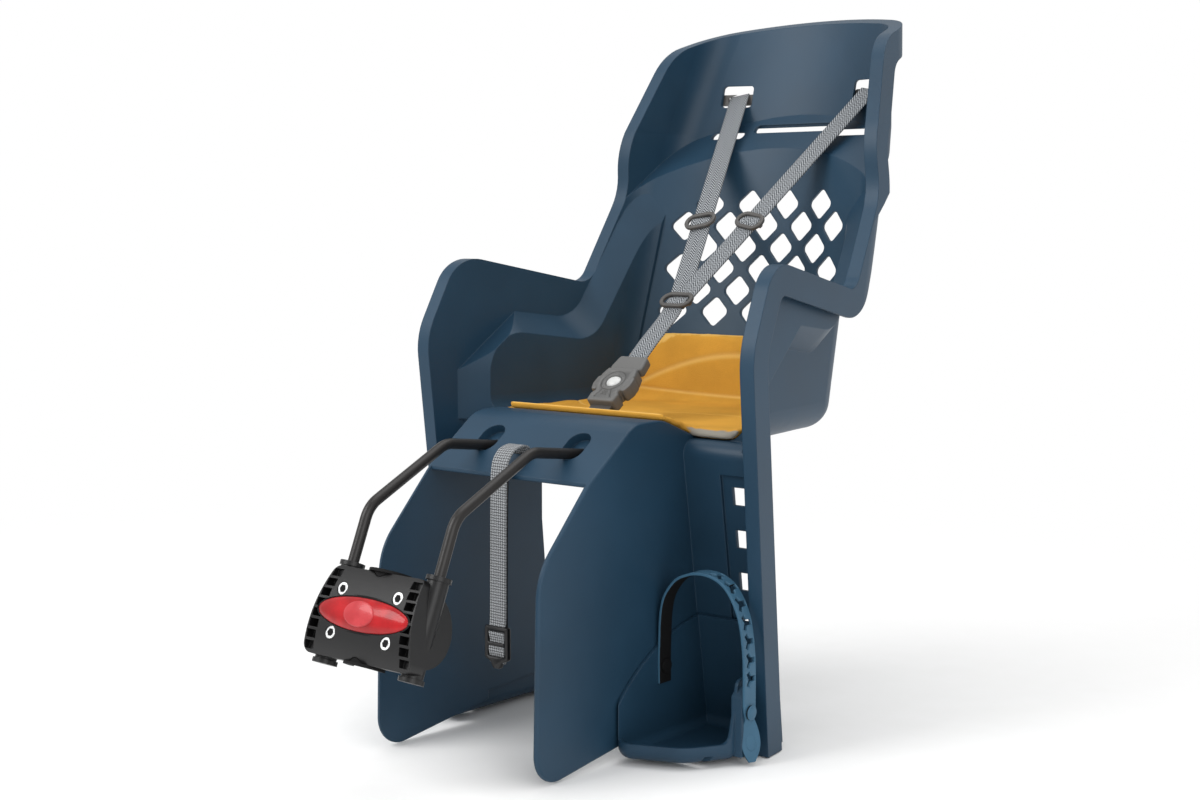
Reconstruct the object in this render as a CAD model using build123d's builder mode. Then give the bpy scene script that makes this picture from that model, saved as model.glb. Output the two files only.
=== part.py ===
"""Child bike seat: moulded shell on a bent carrier rod, clamped to the seat tube.

Frame: origin at the centre of the seat-tube clamp, +Z up, -Y forward, +X to the rider's left.
Sizes of the seat are read from its own datum: y from the place where the rod enters the bridge,
z from the lowest point of the leg guards. Sizes of the block are read from the clamp's centre,
up the seat tube and forward of it.
"""

import math
import os

from build123d import *

os.makedirs("parts", exist_ok=True)

# Where the seat stands behind and below the clamp
seat_y = 194.0
seat_z = -148.0

# Clearances
shaft_gap = 0.05
slide_gap = 0.4
soft_gap = 0.3

# Shell: walls and plan view
wall = 4.0
arm_half_width = 190.0
arm_taper = 0.137
arm_front_y = 58.0
tub_inset = 24.0
tub_set_back = 1.0
back_radius = 240.0
corner_radius = 42.0
back_lean = 0.26
back_y_at_pan = 329.0
helmet_set_back = 40.0
ledge_y = 402.0
ledge_z = 562.0
ledge_slope = 0.75

# Shell: levels
pan_z = 282.0
waist_z = 500.0
shoulder_z = 580.0
roof_z = 760.0
shoulder_narrowing = 6.0
roof_narrowing = 34.0
pan_round = 24.0

# Shell: rim seen from the side, from the leg's foot to the top of the headrest
rim_foot = (115.0, -200.0)
rim_front = (57.0, 368.0)
rim_arm = (98.0, 450.0)
rim_dip = (278.0, 416.0)
rim_waist = (336.0, 515.0)
rim_shoulder = (329.0, 560.0)
rim_crown = (385.0, 668.0)
rim_top = (520.0, 712.0)
rim_radii = [70.0, 40.0, 22.0, 60.0, 80.0, 60.0]
lip_width = 11.0
lip_wall = 3.5
lip_depth = 28.0

# Shell: recess of the tub below the arms, seen from the side
recess_front_y = 117.0
recess_arm_z = 374.0
recess_dip = (262.0, 356.0)
recess_back = (420.0, 590.0)
recess_radius = 40.0

# Leg guards: calf wall, inner plates and the bridge between them
calf_y_at_pan = 99.0
calf_lean = 0.15
calf_roll = 14.0
roll_cut = 3.0
plate_half_width = 98.0
plate_toe = (-108.0, -4.0)
plate_shin = (-103.0, 185.0)
bridge_front = (-36.0, 256.0)
pommel_front = (28.0, 303.0)
pommel_rear = (70.0, 303.0)
pommel_foot = (120.0, 284.0)
plate_radii = [28.0, 60.0, 60.0, 40.0, 60.0, 40.0]
plate_edge = 2.5
plate_rear_y = 122.0
plate_heel = (137.0, 30.0)
plate_step = (41.0, 16.0)
plate_step_height = 8.0

# Leg guards: track and square holes for the footrest
track_x = 155.0
track_width = 34.0
track_depth = 3.0
track_top_z = 252.0
hole_width = 13.5
hole_height = 17.0
hole_pitch = 40.5
hole_top_z = 232.5
hole_count = 5

# Openings in the back
lattice_across = 47.0
lattice_rows = 23.0
lattice_side = 25.0
lattice_round = 6.0
lattice_low_z = 386.0
lattice_row_count = 6
lattice_columns = 5
shoulder_slot_x = 82.0
shoulder_slot_z = 619.0
shoulder_slot_width = 34.0
shoulder_slot_height = 24.0
shoulder_slot_lift = 2.5
ledge_slot_z = 584.0
ledge_slot_width = 100.0
ledge_slot_height = 9.0
side_slot_x = 80.0
side_slot_z = 577.0
side_slot_width = 44.0
side_slot_height = 7.0

# Carrier rod: one bar, both legs in the block, bent under the seat
rod_diameter = 10.0
rod_half_spacing = 52.0
rod_leg_below = 45.0
rod_leg_above = 96.0
rod_up_bend = (134.0, 134.0)
rod_slope = 0.12
rod_rear_y = 464.0
rod_bend_radius = 28.0

# Rod seats in the bridge and saddles under the pan
pocket_width = 25.0
pocket_length = 36.0
pocket_depth = 9.0
pocket_share = 0.55
pocket_wall = 3.0
saddle_length = 26.0
saddle_front_y = 148.0
saddle_rear_y = 206.0
clamp_plate_thickness = 4.0
clamp_plate_margin = 5.0
screw_x = 30.0
screw_diameter = 5.0
screw_head_diameter = 9.5
screw_head_height = 3.0
insert_diameter = 7.5
insert_length = 10.0

# Block on the seat tube
tube_tilt = 23.0
tube_radius = 16.0
liner_wall = 1.5
liner_flange = 4.0
liner_flange_height = 2.5
block_half_height = 39.0
block_top_half_width = 53.0
block_low_half_width = 65.0
block_edge_forward = 16.0
block_mid_forward = 24.0
block_split = 1.5
cheek_depth = 26.0
block_corner = 7.0
socket_radius = 9.5
socket_reach = 6.0
socket_ring = 1.6
socket_ring_height = 4.0
rear_half_width = 40.0
rear_half_height = 34.0
rear_depth = 25.0
bolt_x = 33.0
bolt_up = 19.0
bolt_diameter = 6.0
bolt_head_diameter = 11.0
bolt_head_height = 6.0
bolt_hex = 5.0
bolt_recess = 2.5
nut_across = 10.0
nut_height = 5.0
cell_count = 8
cell_pitch = 9.2
cell_height = 7.0
cell_width = 11.0
cell_depth = 6.0

# Release button in the block
button_half_length = 54.0
button_half_height = 15.0
button_floor = 19.2
button_travel = 3.0
button_thickness = 5.5
button_edge = 3.8
button_stem_x = 36.0
button_stem_diameter = 6.0
button_stem_length = 11.0
release_spring_wall = 0.8

# Harness webbing
strap_width = 24.0
strap_thickness = 2.0
join = (224.0, 401.0)
join_half_spacing = 1.5
lower_slider_width = 43.0
buckle_top = (161.0, 342.0)
buckle_foot = (106.0, 300.0)
slider_width = 36.0
slider_length = 24.0
slider_bar = 4.5
slider_wall = 1.8
shoulder_slider_share = 0.63
retainer_width = 42.0
retainer_height = 12.0
retainer_thickness = 3.0

# Buckle
buckle_width = 46.0
buckle_length = 48.0
buckle_thickness = 16.0
buckle_wall = 2.5
blade_share = 0.6
button_share = 0.6
tongue_width = 32.0
tongue_thickness = 5.0
tongue_grip = 5.0
button_slot_length = 15.0
button_slot_width = 17.0
buckle_button_travel = 2.5
buckle_button_proud = 1.5
crotch_width = 25.0

# Security strap
security_width = 20.0
security_thickness = 2.4
security_slot_share = 0.38
security_drop_y = -46.0
security_end_z = 92.0
lock_width = 30.0
lock_length = 40.0
lock_gap = 4.0

# Pad
pad_thickness = 8.0
pad_front_y = 72.0
pad_side_z = 296.0
pad_rise_y = 262.0
pad_top_z = 363.0

# Footrests
tray_wall = 3.5
tray_floor_z = 4.0
tray_lip_z = 20.0
tray_toe_y = -12.0
tray_toe_z = 38.0
tray_nose = (165.0, 14.0)
tray_cheek_y = 55.0
tray_cheek_z = 76.0
tray_back_z = 115.0
tray_side = (32.0, 79.0)
tray_round = 8.0
foot_strap_width = 18.0
foot_strap_thickness = 3.0
foot_strap_y = 66.0
foot_strap_top_z = 168.0
foot_strap_low_z = 62.0
ear_thickness = 8.0
ear_low_z = 8.0
ear_high_z = 70.0
tail_z = 1.0
stud_z = 48.0
stud_diameter = 8.0
stud_head_diameter = 13.0
stud_head_height = 2.0
rivet_z = 76.0

# Larger than anything, for cuts that run right through
reach = 400.0


# Planes of the seat: seen from above, from the front and from the left
def level(z):
    """Level plane at a height above the foot of the leg guards."""
    return Plane((0, seat_y, seat_z + z))


def front(y):
    """Upright plane across the seat, facing forward, with z up."""
    return Plane((0, seat_y + y, seat_z), x_dir=(1, 0, 0), z_dir=(0, -1, 0))


def seen_from_left(x):
    """Upright plane along the seat, with y to the right and z up."""
    return Plane((x, seat_y, seat_z), x_dir=(0, 1, 0), z_dir=(1, 0, 0))


# Planes of the block: across the tube, along it facing forward, and seen from the left
tilt = math.radians(tube_tilt)
tube_up = Vector(0, math.sin(tilt), math.cos(tilt))
tube_forward = Vector(0, -math.cos(tilt), math.sin(tilt))
block_face = Plane((0, 0, 0), x_dir=(1, 0, 0), z_dir=tube_forward)
block_level = Plane((0, 0, 0), x_dir=(1, 0, 0), z_dir=tube_up)
block_side = Plane((0, 0, 0), x_dir=tube_forward, z_dir=(-1, 0, 0))

# Plane of the rod's run under the seat, with y along the rod
rod_plane = Plane((0, *rod_up_bend), x_dir=(1, 0, 0), z_dir=(0, rod_slope, 1))
rod_radius = rod_diameter / 2
rod_stretch = math.hypot(1, rod_slope)


def rod_run(y):
    """Distance along the rod's run of a place in the seat."""
    return (seat_y + y - rod_up_bend[0]) * rod_stretch


def side_slab(x_from, x_to, *points):
    """Region of the side view, between two distances from the middle plane."""
    with BuildPart() as slab:
        with BuildSketch(seen_from_left(x_from)):
            with BuildLine():
                Polyline(*points, close=True)
            make_face()
        extrude(amount=x_to - x_from)
    return slab.part


def narrowing(z):
    """How far the side walls lean in at a height."""
    if z <= waist_z:
        return 0.0
    if z <= shoulder_z:
        return shoulder_narrowing * (z - waist_z) / (shoulder_z - waist_z)
    share = (z - shoulder_z) / (roof_z - shoulder_z)
    return shoulder_narrowing + share * (roof_narrowing - shoulder_narrowing)


def half_width(y, z, grow, inset=0.0):
    """Distance of the side wall from the middle plane."""
    return arm_half_width - inset + grow - arm_taper * (y - arm_front_y) - narrowing(z)


def back_y(z):
    """Front of the backrest in the middle plane."""
    return back_y_at_pan + back_lean * (z - pan_z)


def calf_y(z):
    """Front of the calf wall at a height."""
    return calf_y_at_pan + calf_lean * (pan_z - z)


def back_arc(z, grow=0.0, set_back=0.0, inset=0.0):
    """Rearmost y of the backrest's curve at a height, and the corner where it meets the side wall."""
    rear = back_y(z) + set_back + grow
    corner_y = rear - half_width(rear, z, grow, inset) ** 2 / (2 * back_radius)
    return rear, corner_y, half_width(corner_y, z, grow, inset)


def bucket(grow, set_back, inset, floor, roof, edge=0.0):
    """Solid inside of the seat, grown outwards, from floor to roof, with its floor edge rounded."""
    ahead = plate_toe[0]
    with BuildPart() as volume:
        for z in [floor, waist_z, shoulder_z, roof]:
            rear, corner, x_corner = back_arc(z, grow, set_back, inset)
            x_ahead = half_width(ahead, z, grow, inset)
            with BuildSketch(level(z)):
                with BuildLine():
                    ThreePointArc((-x_corner, corner), (0, rear), (x_corner, corner))
                    Polyline((x_corner, corner), (x_ahead, ahead), (-x_ahead, ahead), (-x_corner, corner))
                make_face()
                fillet(vertices().group_by(Axis.Y)[-1], corner_radius + grow)
        loft(ruled=True)
        if edge:
            fillet(volume.faces().sort_by(Axis.Z)[0].edges().sort_by(Axis.Y)[1:], edge)
    return volume.part


def above_ledge(grow):
    """Everything above the sloping ledge where the headrest steps back."""
    drop = grow * math.hypot(1, ledge_slope)
    start = (ledge_y - reach, ledge_z - drop - ledge_slope * reach)
    end = (ledge_y + reach, ledge_z - drop + ledge_slope * reach)
    return side_slab(-reach, reach, start, end, (start[0], end[1]))


def envelope(grow, floor, roof):
    """Inside of the wings and headrest, grown outwards: set back above the ledge for a helmet."""
    above = above_ledge(grow)
    lower = bucket(grow, 0, 0, floor, roof) - above
    upper = bucket(grow, helmet_set_back, 0, floor, roof) & above
    return lower + upper


def tub(grow):
    """Inside of the tub, grown outwards, with its floor edge rounded and its back behind the wings' back."""
    return bucket(grow, tub_set_back, tub_inset, pan_z - grow, roof_z + wall, pan_round + grow)


def recess_outline(out, grow):
    """Outline of the tub's side on a plane some way out from its wall, wider the further out."""
    margin = out - grow * math.sqrt(2)
    start_x = half_width(0, 0, 0, tub_inset)
    tub_side = Plane((start_x, seat_y, seat_z), x_dir=(-arm_taper, 1, 0), z_dir=(1, arm_taper, 0))
    with BuildSketch(tub_side.offset(out)) as outline:
        with BuildLine():
            path = FilletPolyline(
                (recess_front_y - margin, -reach),
                (recess_front_y - margin, recess_arm_z + margin),
                (recess_dip[0] - 0.4 * margin, recess_dip[1] + margin),
                (recess_back[0] - margin, recess_back[1] + 0.4 * margin),
                radius=[recess_radius + margin, recess_radius],
            )
            Polyline(path @ 1, (2 * reach, recess_back[1]), (2 * reach, -reach), path @ 0)
        make_face()
    return outline.sketch


def recess_fill(grow):
    """Space round the tub: beside it below the arms, with a sloping front and top, and under its floor."""
    inside = -2 * wall
    outside = tub_inset + lip_width + lip_wall + 2 * wall
    with BuildPart() as zone:
        loft(sections=[recess_outline(inside, grow), recess_outline(outside, grow)], ruled=True)
        mirror(about=Plane.YZ)
    ahead, top = recess_front_y + grow, pan_z + 2 * pan_round
    under = side_slab(-reach, reach, (ahead, 0), (2 * reach, 0), (2 * reach, top), (ahead, top))
    return zone.part + under - above_ledge(grow) - tub(grow)


def rim_region(inset):
    """Everything behind the rim, right across the seat, drawn in by an inset."""
    with BuildPart() as region:
        with BuildSketch(seen_from_left(0)):
            with BuildLine():
                rim = FilletPolyline(
                    rim_foot, rim_front, rim_arm, rim_dip, rim_waist, rim_shoulder, rim_crown, rim_top,
                    radius=rim_radii,
                )
                Polyline(rim @ 1, (3 * reach, 3 * reach), (3 * reach, rim_foot[1]), rim @ 0)
            make_face()
            if inset:
                offset(amount=-inset)
        extrude(amount=reach, both=True)
    return region.part


def guard_block(grow, high):
    """Block between the side walls of the leg guards."""
    ahead = plate_toe[0]
    behind = calf_y(0) + 2 * wall
    x_ahead = half_width(ahead, 0, grow)
    x_behind = half_width(behind, 0, grow)
    with BuildPart() as block:
        with BuildSketch(level(0)):
            with BuildLine():
                Polyline(
                    (x_ahead, ahead), (x_behind, behind), (-x_behind, behind), (-x_ahead, ahead),
                    close=True,
                )
            make_face()
        extrude(amount=high)
    return block.part


def ahead_of_calf(depth, roll):
    """Everything in front of the calf wall at a depth in it, under a roll into the pan."""
    top = pan_z - depth
    behind = pan_z + reach
    with BuildPart() as region:
        with BuildSketch(seen_from_left(-reach)):
            with BuildLine():
                path = FilletPolyline(
                    (calf_y(-reach) + depth, -reach), (calf_y(top) + depth, top), (behind, top), radius=roll
                )
                Polyline(path @ 1, (behind, top + reach), (-reach, top + reach), (-reach, -reach), path @ 0)
            make_face()
        extrude(amount=2 * reach)
    return region.part


def plate_block():
    """Inner plates and bridge as one solid block, rounded along the front and top."""
    with BuildPart() as block:
        with BuildSketch(seen_from_left(-plate_half_width)):
            with BuildLine():
                path = FilletPolyline(
                    plate_step, plate_toe, plate_shin, bridge_front, pommel_front, pommel_rear, pommel_foot,
                    (pommel_foot[0] + calf_roll, pan_z), radius=plate_radii,
                )
                Polyline(
                    path @ 1, (path @ 1) - (0, wall), (plate_rear_y, pan_z - wall),
                    (plate_rear_y, plate_shin[1]), plate_heel,
                    (plate_step[0], plate_step[1] + plate_step_height), path @ 0,
                )
            make_face()
        extrude(amount=2 * plate_half_width)
        sides = block.faces().sort_by(Axis.X)
        fillet([sides[0].edges().sort_by(Axis.Y)[0], sides[-1].edges().sort_by(Axis.Y)[0]], plate_edge)
    return block.part


def wheel_gap():
    """Space between the inner plates, under the bridge and open to the front, rear and bottom."""
    inside = plate_half_width - wall
    crown = pan_z + reach
    return side_slab(
        -inside, inside,
        (bridge_front[0], crown), (-reach, crown), (-reach, -reach), (reach, -reach), (reach, pan_z - wall),
        (pommel_foot[0], pommel_foot[1] - wall), (pommel_rear[0], pommel_rear[1] - wall),
        (pommel_front[0], pommel_front[1] - wall), (bridge_front[0], bridge_front[1] - wall),
    )


def rod_tubes(radius, run_from, run_to):
    """Straight round bars along both rods under the seat."""
    with BuildPart() as bars:
        start = rod_plane.from_local_coords((0, run_from, 0))
        with BuildSketch(Plane(start, x_dir=(1, 0, 0), z_dir=rod_plane.y_dir)):
            with Locations((-rod_half_spacing, 0), (rod_half_spacing, 0)):
                Circle(radius)
        extrude(amount=run_to - run_from)
    return bars.part


# Slope of the bridge, where the rods enter and the security strap hangs
bridge_run = Vector(0, pommel_front[0] - bridge_front[0], pommel_front[1] - bridge_front[1])
bridge_under = wall * bridge_run.Y / bridge_run.length


def on_bridge(share):
    """Plane on the bridge's slope, a share of the way up it, with y up the slope."""
    y = bridge_front[0] + share * bridge_run.Y
    z = bridge_front[1] + share * bridge_run.Z
    return Plane((0, seat_y + y, seat_z + z), x_dir=(1, 0, 0), z_dir=(0, -bridge_run.Z, bridge_run.Y))


# Plane along the harness from the buckle's foot up to its top
buckle_run = Vector(0, buckle_top[0] - buckle_foot[0], buckle_top[1] - buckle_foot[1])
buckle_plane = Plane(
    (0, seat_y + buckle_foot[0], seat_z + buckle_foot[1]),
    x_dir=(1, 0, 0), z_dir=(0, -buckle_run.Z, buckle_run.Y),
)

# Seat shell: wings, headrest, tub, lip, leg guards and bridge as one moulding
inner = envelope(0, pan_z, roof_z + wall) - recess_fill(0)
outer = envelope(wall, pan_z - wall, roof_z) - recess_fill(wall)
region = rim_region(0)
lip_outside = envelope(wall + lip_width, 0, roof_z)
lip_inside = envelope(wall + lip_width - lip_wall, -wall, roof_z + wall)
skirt = (lip_outside - lip_inside) & (region - rim_region(lip_depth))
flange = (lip_outside - envelope(0, -wall, roof_z + wall)) & (region - rim_region(wall))

free = ahead_of_calf(0, calf_roll)
within_calf = ahead_of_calf(wall, calf_roll - wall)
plates = plate_block()
guard = guard_block(wall, pan_z)
near_calf = side_slab(
    -reach, reach,
    (-reach, 0), (calf_y(0) + calf_roll, 0), (calf_y(pan_z) + calf_roll, pan_z), (-reach, pan_z),
)
calf = ((within_calf - free) & guard & near_calf) - plates
roll_z = pan_z - calf_roll - wall
tub_side = half_width(calf_y(pan_z), pan_z, wall / 2, tub_inset)
for x_from, x_to in [(tub_side, reach), (-reach, -tub_side)]:
    calf -= side_slab(
        x_from, x_to, (calf_y(roll_z) + roll_cut, roll_z), (reach, roll_z), (reach, pan_z + wall),
        (calf_y(pan_z + wall) + roll_cut, pan_z + wall),
    )
guard_walls = (guard - guard_block(0, pan_z)) & region & within_calf
leg_space = (guard_block(0, pan_z) & free) - plates
boss_radius = pocket_width / 2 + pocket_wall
bosses = rod_tubes(boss_radius, rod_run(-pocket_length / 2), rod_run(pocket_length)) & plates

with BuildPart() as cups:
    with BuildSketch(on_bridge(pocket_share).offset(pocket_wall)):
        with Locations((-rod_half_spacing, 0), (rod_half_spacing, 0)):
            SlotOverall(pocket_length + 2 * pocket_wall, pocket_width + 2 * pocket_wall, rotation=90)
    extrude(amount=-pocket_depth - 2 * pocket_wall)
    add(plates, mode=Mode.INTERSECT)


def rod_z(y):
    """Height of the rod's axis under the seat."""
    return rod_up_bend[1] - rod_slope * (seat_y + y - rod_up_bend[0]) - seat_z


def calf_band(x_width, low, high, depth_from, depth_to):
    """Leaning slab on the calf wall behind each track, between two depths."""
    slabs = []
    for x in [track_x, -track_x]:
        slabs.append(
            side_slab(
                x - x_width / 2, x + x_width / 2,
                (calf_y(low) + depth_from, low), (calf_y(high) + depth_from, high),
                (calf_y(high) + depth_to, high), (calf_y(low) + depth_to, low),
            )
        )
    return slabs


def saddles():
    """Posts under the pan that the rods lie against, at the front and rear of the clamp plate."""
    posts = []
    inside = screw_x - insert_diameter
    outside = rod_half_spacing + rod_diameter
    for y in [saddle_front_y, saddle_rear_y]:
        rear = y + saddle_length
        outline = [(y, rod_z(y)), (rear, rod_z(rear)), (rear, pan_z - wall / 2), (y, pan_z - wall / 2)]
        posts.append(side_slab(inside, outside, *outline))
        posts.append(side_slab(-outside, -inside, *outline))
    return posts


screw_runs = [rod_run(y + saddle_length / 2) for y in [saddle_front_y, saddle_rear_y]]
screw_places = [(x, run) for x in [-screw_x, screw_x] for run in screw_runs]
hole_levels = [hole_top_z - row * hole_pitch for row in range(hole_count)]
lattice_places = []
for row in range(lattice_row_count):
    count = lattice_columns - row % 2
    for column in range(count):
        x = (column - (count - 1) / 2) * lattice_across
        lattice_places.append((x, lattice_low_z + row * lattice_rows))
crotch_y = buckle_foot[0] - buckle_thickness / 2

with BuildPart() as cuts:
    # Lattice in the back
    with BuildSketch(front(back_y(waist_z) + 3 * wall)) as lattice:
        with Locations(*lattice_places):
            Rectangle(lattice_side, lattice_side, rotation=45)
        fillet(lattice.vertices(), lattice_round)
    extrude(amount=back_radius / 3)
    # Slots for the shoulder straps
    with BuildSketch(front(back_y(roof_z) + helmet_set_back)):
        slot_z = shoulder_slot_z + shoulder_slot_lift
        with Locations((-shoulder_slot_x, slot_z), (shoulder_slot_x, slot_z)):
            RectangleRounded(shoulder_slot_width, shoulder_slot_height, wall)
    extrude(amount=back_radius / 3)
    # Slots along the ledge
    with BuildSketch(front(back_y(ledge_slot_z) + helmet_set_back - 2 * wall)):
        with Locations((0, ledge_slot_z)):
            SlotOverall(ledge_slot_width, ledge_slot_height)
        with Locations((-side_slot_x, side_slot_z), (side_slot_x, side_slot_z)):
            SlotOverall(side_slot_width, side_slot_height)
    extrude(amount=helmet_set_back)
    # Square holes in the calf walls
    for x in [-track_x, track_x]:
        with BuildSketch(front(calf_y(0) + 2 * wall)):
            with Locations(*[(x, z) for z in hole_levels]):
                Rectangle(hole_width, hole_height)
        extrude(amount=calf_y(0) - calf_y(pan_z) + 4 * wall)
    # Oval pockets where the rods enter the bridge, and the security strap's slot
    with BuildSketch(on_bridge(pocket_share)):
        with Locations((-rod_half_spacing, 0), (rod_half_spacing, 0)):
            SlotOverall(pocket_length, pocket_width, rotation=90)
    extrude(amount=-pocket_depth)
    with BuildSketch(on_bridge(security_slot_share)):
        SlotOverall(security_width + 8, 3 * security_thickness)
    extrude(amount=2 * wall, both=True)
    # Slot for the crotch strap
    with BuildSketch(level(pan_z - wall)):
        with Locations((0, crotch_y)):
            SlotOverall(crotch_width + 8, 4 * strap_thickness)
    extrude(amount=pommel_rear[1])
    # Rods, and the inserts that the clamp screws bite into
    rod_runs = (rod_run(-pocket_length), rod_run(saddle_rear_y + 2 * saddle_length))
    add(rod_tubes(rod_radius + shaft_gap, *rod_runs))
    with BuildSketch(rod_plane):
        with Locations(*screw_places):
            Circle(insert_diameter / 2)
    extrude(amount=insert_length)

with BuildPart() as seat_shell:
    add((outer - inner) & region)
    add(leg_space, mode=Mode.SUBTRACT)
    add([calf, guard_walls, skirt, flange, plates])
    add(wheel_gap(), mode=Mode.SUBTRACT)
    add([bosses, cups.part] + saddles())
    add(calf_band(track_width + 2 * wall, 0, track_top_z + wall, wall / 2, wall + track_depth))
    add(calf_band(track_width, -wall, track_top_z, -wall, track_depth), mode=Mode.SUBTRACT)
    add(cuts.part, mode=Mode.SUBTRACT)
seat_shell.part.label = "seat_shell"
export_step(seat_shell.part, "parts/seat_shell.step")

# Carrier rod: one bar bent from leg to leg
leg_end = tube_up * -rod_leg_below
leg_top = tube_up * rod_leg_above
with BuildPart() as carrier_rod:
    with BuildLine() as route:
        x = rod_half_spacing
        rear = rod_plane.from_local_coords((0, (rod_rear_y - rod_up_bend[0]) * rod_stretch, 0))
        FilletPolyline(
            (x, leg_end.Y, leg_end.Z), (x, leg_top.Y, leg_top.Z), (x, *rod_up_bend),
            (x, rear.Y, rear.Z), (-x, rear.Y, rear.Z),
            (-x, *rod_up_bend), (-x, leg_top.Y, leg_top.Z), (-x, leg_end.Y, leg_end.Z),
            radius=rod_bend_radius,
        )
    with BuildSketch(Plane((x, leg_end.Y, leg_end.Z), x_dir=(1, 0, 0), z_dir=tube_up)):
        Circle(rod_radius)
    sweep()
carrier_rod.part.label = "carrier_rod"
export_step(carrier_rod.part, "parts/carrier_rod.step")

# Clamp plate under the rods, its screws and their inserts in the saddles
plate_run = (rod_run(saddle_front_y), rod_run(saddle_rear_y + saddle_length))
plate_length = plate_run[1] - plate_run[0] + 2 * clamp_plate_margin
plate_width = 2 * (rod_half_spacing + rod_diameter)
plate_top = -rod_radius - shaft_gap
with BuildPart() as rod_clamp_plate:
    with BuildSketch(rod_plane.offset(plate_top)):
        with Locations((0, sum(plate_run) / 2)):
            RectangleRounded(plate_width, plate_length, 2 * clamp_plate_margin)
            SlotOverall(
                plate_length - 2 * saddle_length, screw_x, rotation=90, mode=Mode.SUBTRACT
            )
        with Locations(*screw_places):
            Circle(screw_diameter / 2 + slide_gap, mode=Mode.SUBTRACT)
    extrude(amount=-clamp_plate_thickness)
rod_clamp_plate.part.label = "rod_clamp_plate"
export_step(rod_clamp_plate.part, "parts/rod_clamp_plate.step")

with BuildPart() as clamp_screws:
    with BuildSketch(rod_plane.offset(plate_top - clamp_plate_thickness)):
        with Locations(*screw_places):
            Circle(screw_head_diameter / 2)
    extrude(amount=-screw_head_height)
    fillet(clamp_screws.edges().group_by(Axis.Z)[0], screw_head_height / 2)
    with BuildSketch(rod_plane.offset(plate_top - clamp_plate_thickness)):
        with Locations(*screw_places):
            Circle(screw_diameter / 2)
    extrude(amount=clamp_plate_thickness + rod_radius + insert_length)
clamp_screws.part.label = "clamp_screws"
export_step(clamp_screws.part, "parts/clamp_screws.step")

with BuildPart() as clamp_inserts:
    with BuildSketch(rod_plane.offset(shaft_gap)):
        with Locations(*screw_places):
            Circle(insert_diameter / 2 - shaft_gap)
            Circle(screw_diameter / 2 + shaft_gap, mode=Mode.SUBTRACT)
    extrude(amount=insert_length - 2 * shaft_gap)
clamp_inserts.part.label = "clamp_inserts"
export_step(clamp_inserts.part, "parts/clamp_inserts.step")

# Block: barrel-fronted front half with the rod sockets, the button's pocket and the cell grilles
bore_radius = tube_radius + liner_wall
bolt_seat = block_mid_forward - bolt_recess - bolt_head_height
bolt_places = [(x, up) for x in [-bolt_x, bolt_x] for up in [-bolt_up, bolt_up]]
button_back = button_floor + button_travel + soft_gap
stem_places = [(-button_stem_x, 0), (button_stem_x, 0)]
rod_places = [(-rod_half_spacing, 0), (rod_half_spacing, 0)]


def block_half_width(up):
    """Half width of the block's front at a height up the tube."""
    middle = (block_top_half_width + block_low_half_width) / 2
    return middle + (block_top_half_width - block_low_half_width) / 2 * up / block_half_height


# The barrel front is drawn taller than the block, and the outline trims it
block_reach = block_half_height + block_corner
bow_rise = block_mid_forward - block_edge_forward
bow_radius = (block_half_height**2 + bow_rise**2) / (2 * bow_rise)
bow_end = block_mid_forward - bow_radius + math.sqrt(bow_radius**2 - block_reach**2)

cell_places = []
for row in range(cell_count):
    up = (row - (cell_count - 1) / 2) * cell_pitch
    x = block_half_width(up) - cell_width / 2 - block_split
    cell_places += [(-x, up), (x, up)]

with BuildPart() as block_outline:
    with BuildSketch(block_face):
        with BuildLine():
            FilletPolyline(
                (-block_low_half_width, -block_half_height), (block_low_half_width, -block_half_height),
                (block_top_half_width, block_half_height), (-block_top_half_width, block_half_height),
                radius=block_corner, close=True,
            )
        make_face()
    extrude(amount=reach, both=True)

# Cheeks reach back beside the rear half, round the sockets
cheek_inside = rear_half_width + block_split
cheek_end = block_half_height - block_corner
with BuildPart() as cheeks:
    with BuildSketch(block_side):
        with BuildLine():
            ThreePointArc((0, -cheek_end), (-cheek_depth, 0), (0, cheek_end))
            Polyline(
                (0, cheek_end), (block_edge_forward / 2, cheek_end),
                (block_edge_forward / 2, -cheek_end), (0, -cheek_end),
            )
        make_face()
    extrude(amount=block_low_half_width, both=True)
    add(block_outline.part, mode=Mode.INTERSECT)
    with BuildSketch(block_side):
        Rectangle(reach, reach)
    extrude(amount=cheek_inside, both=True, mode=Mode.SUBTRACT)

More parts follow.
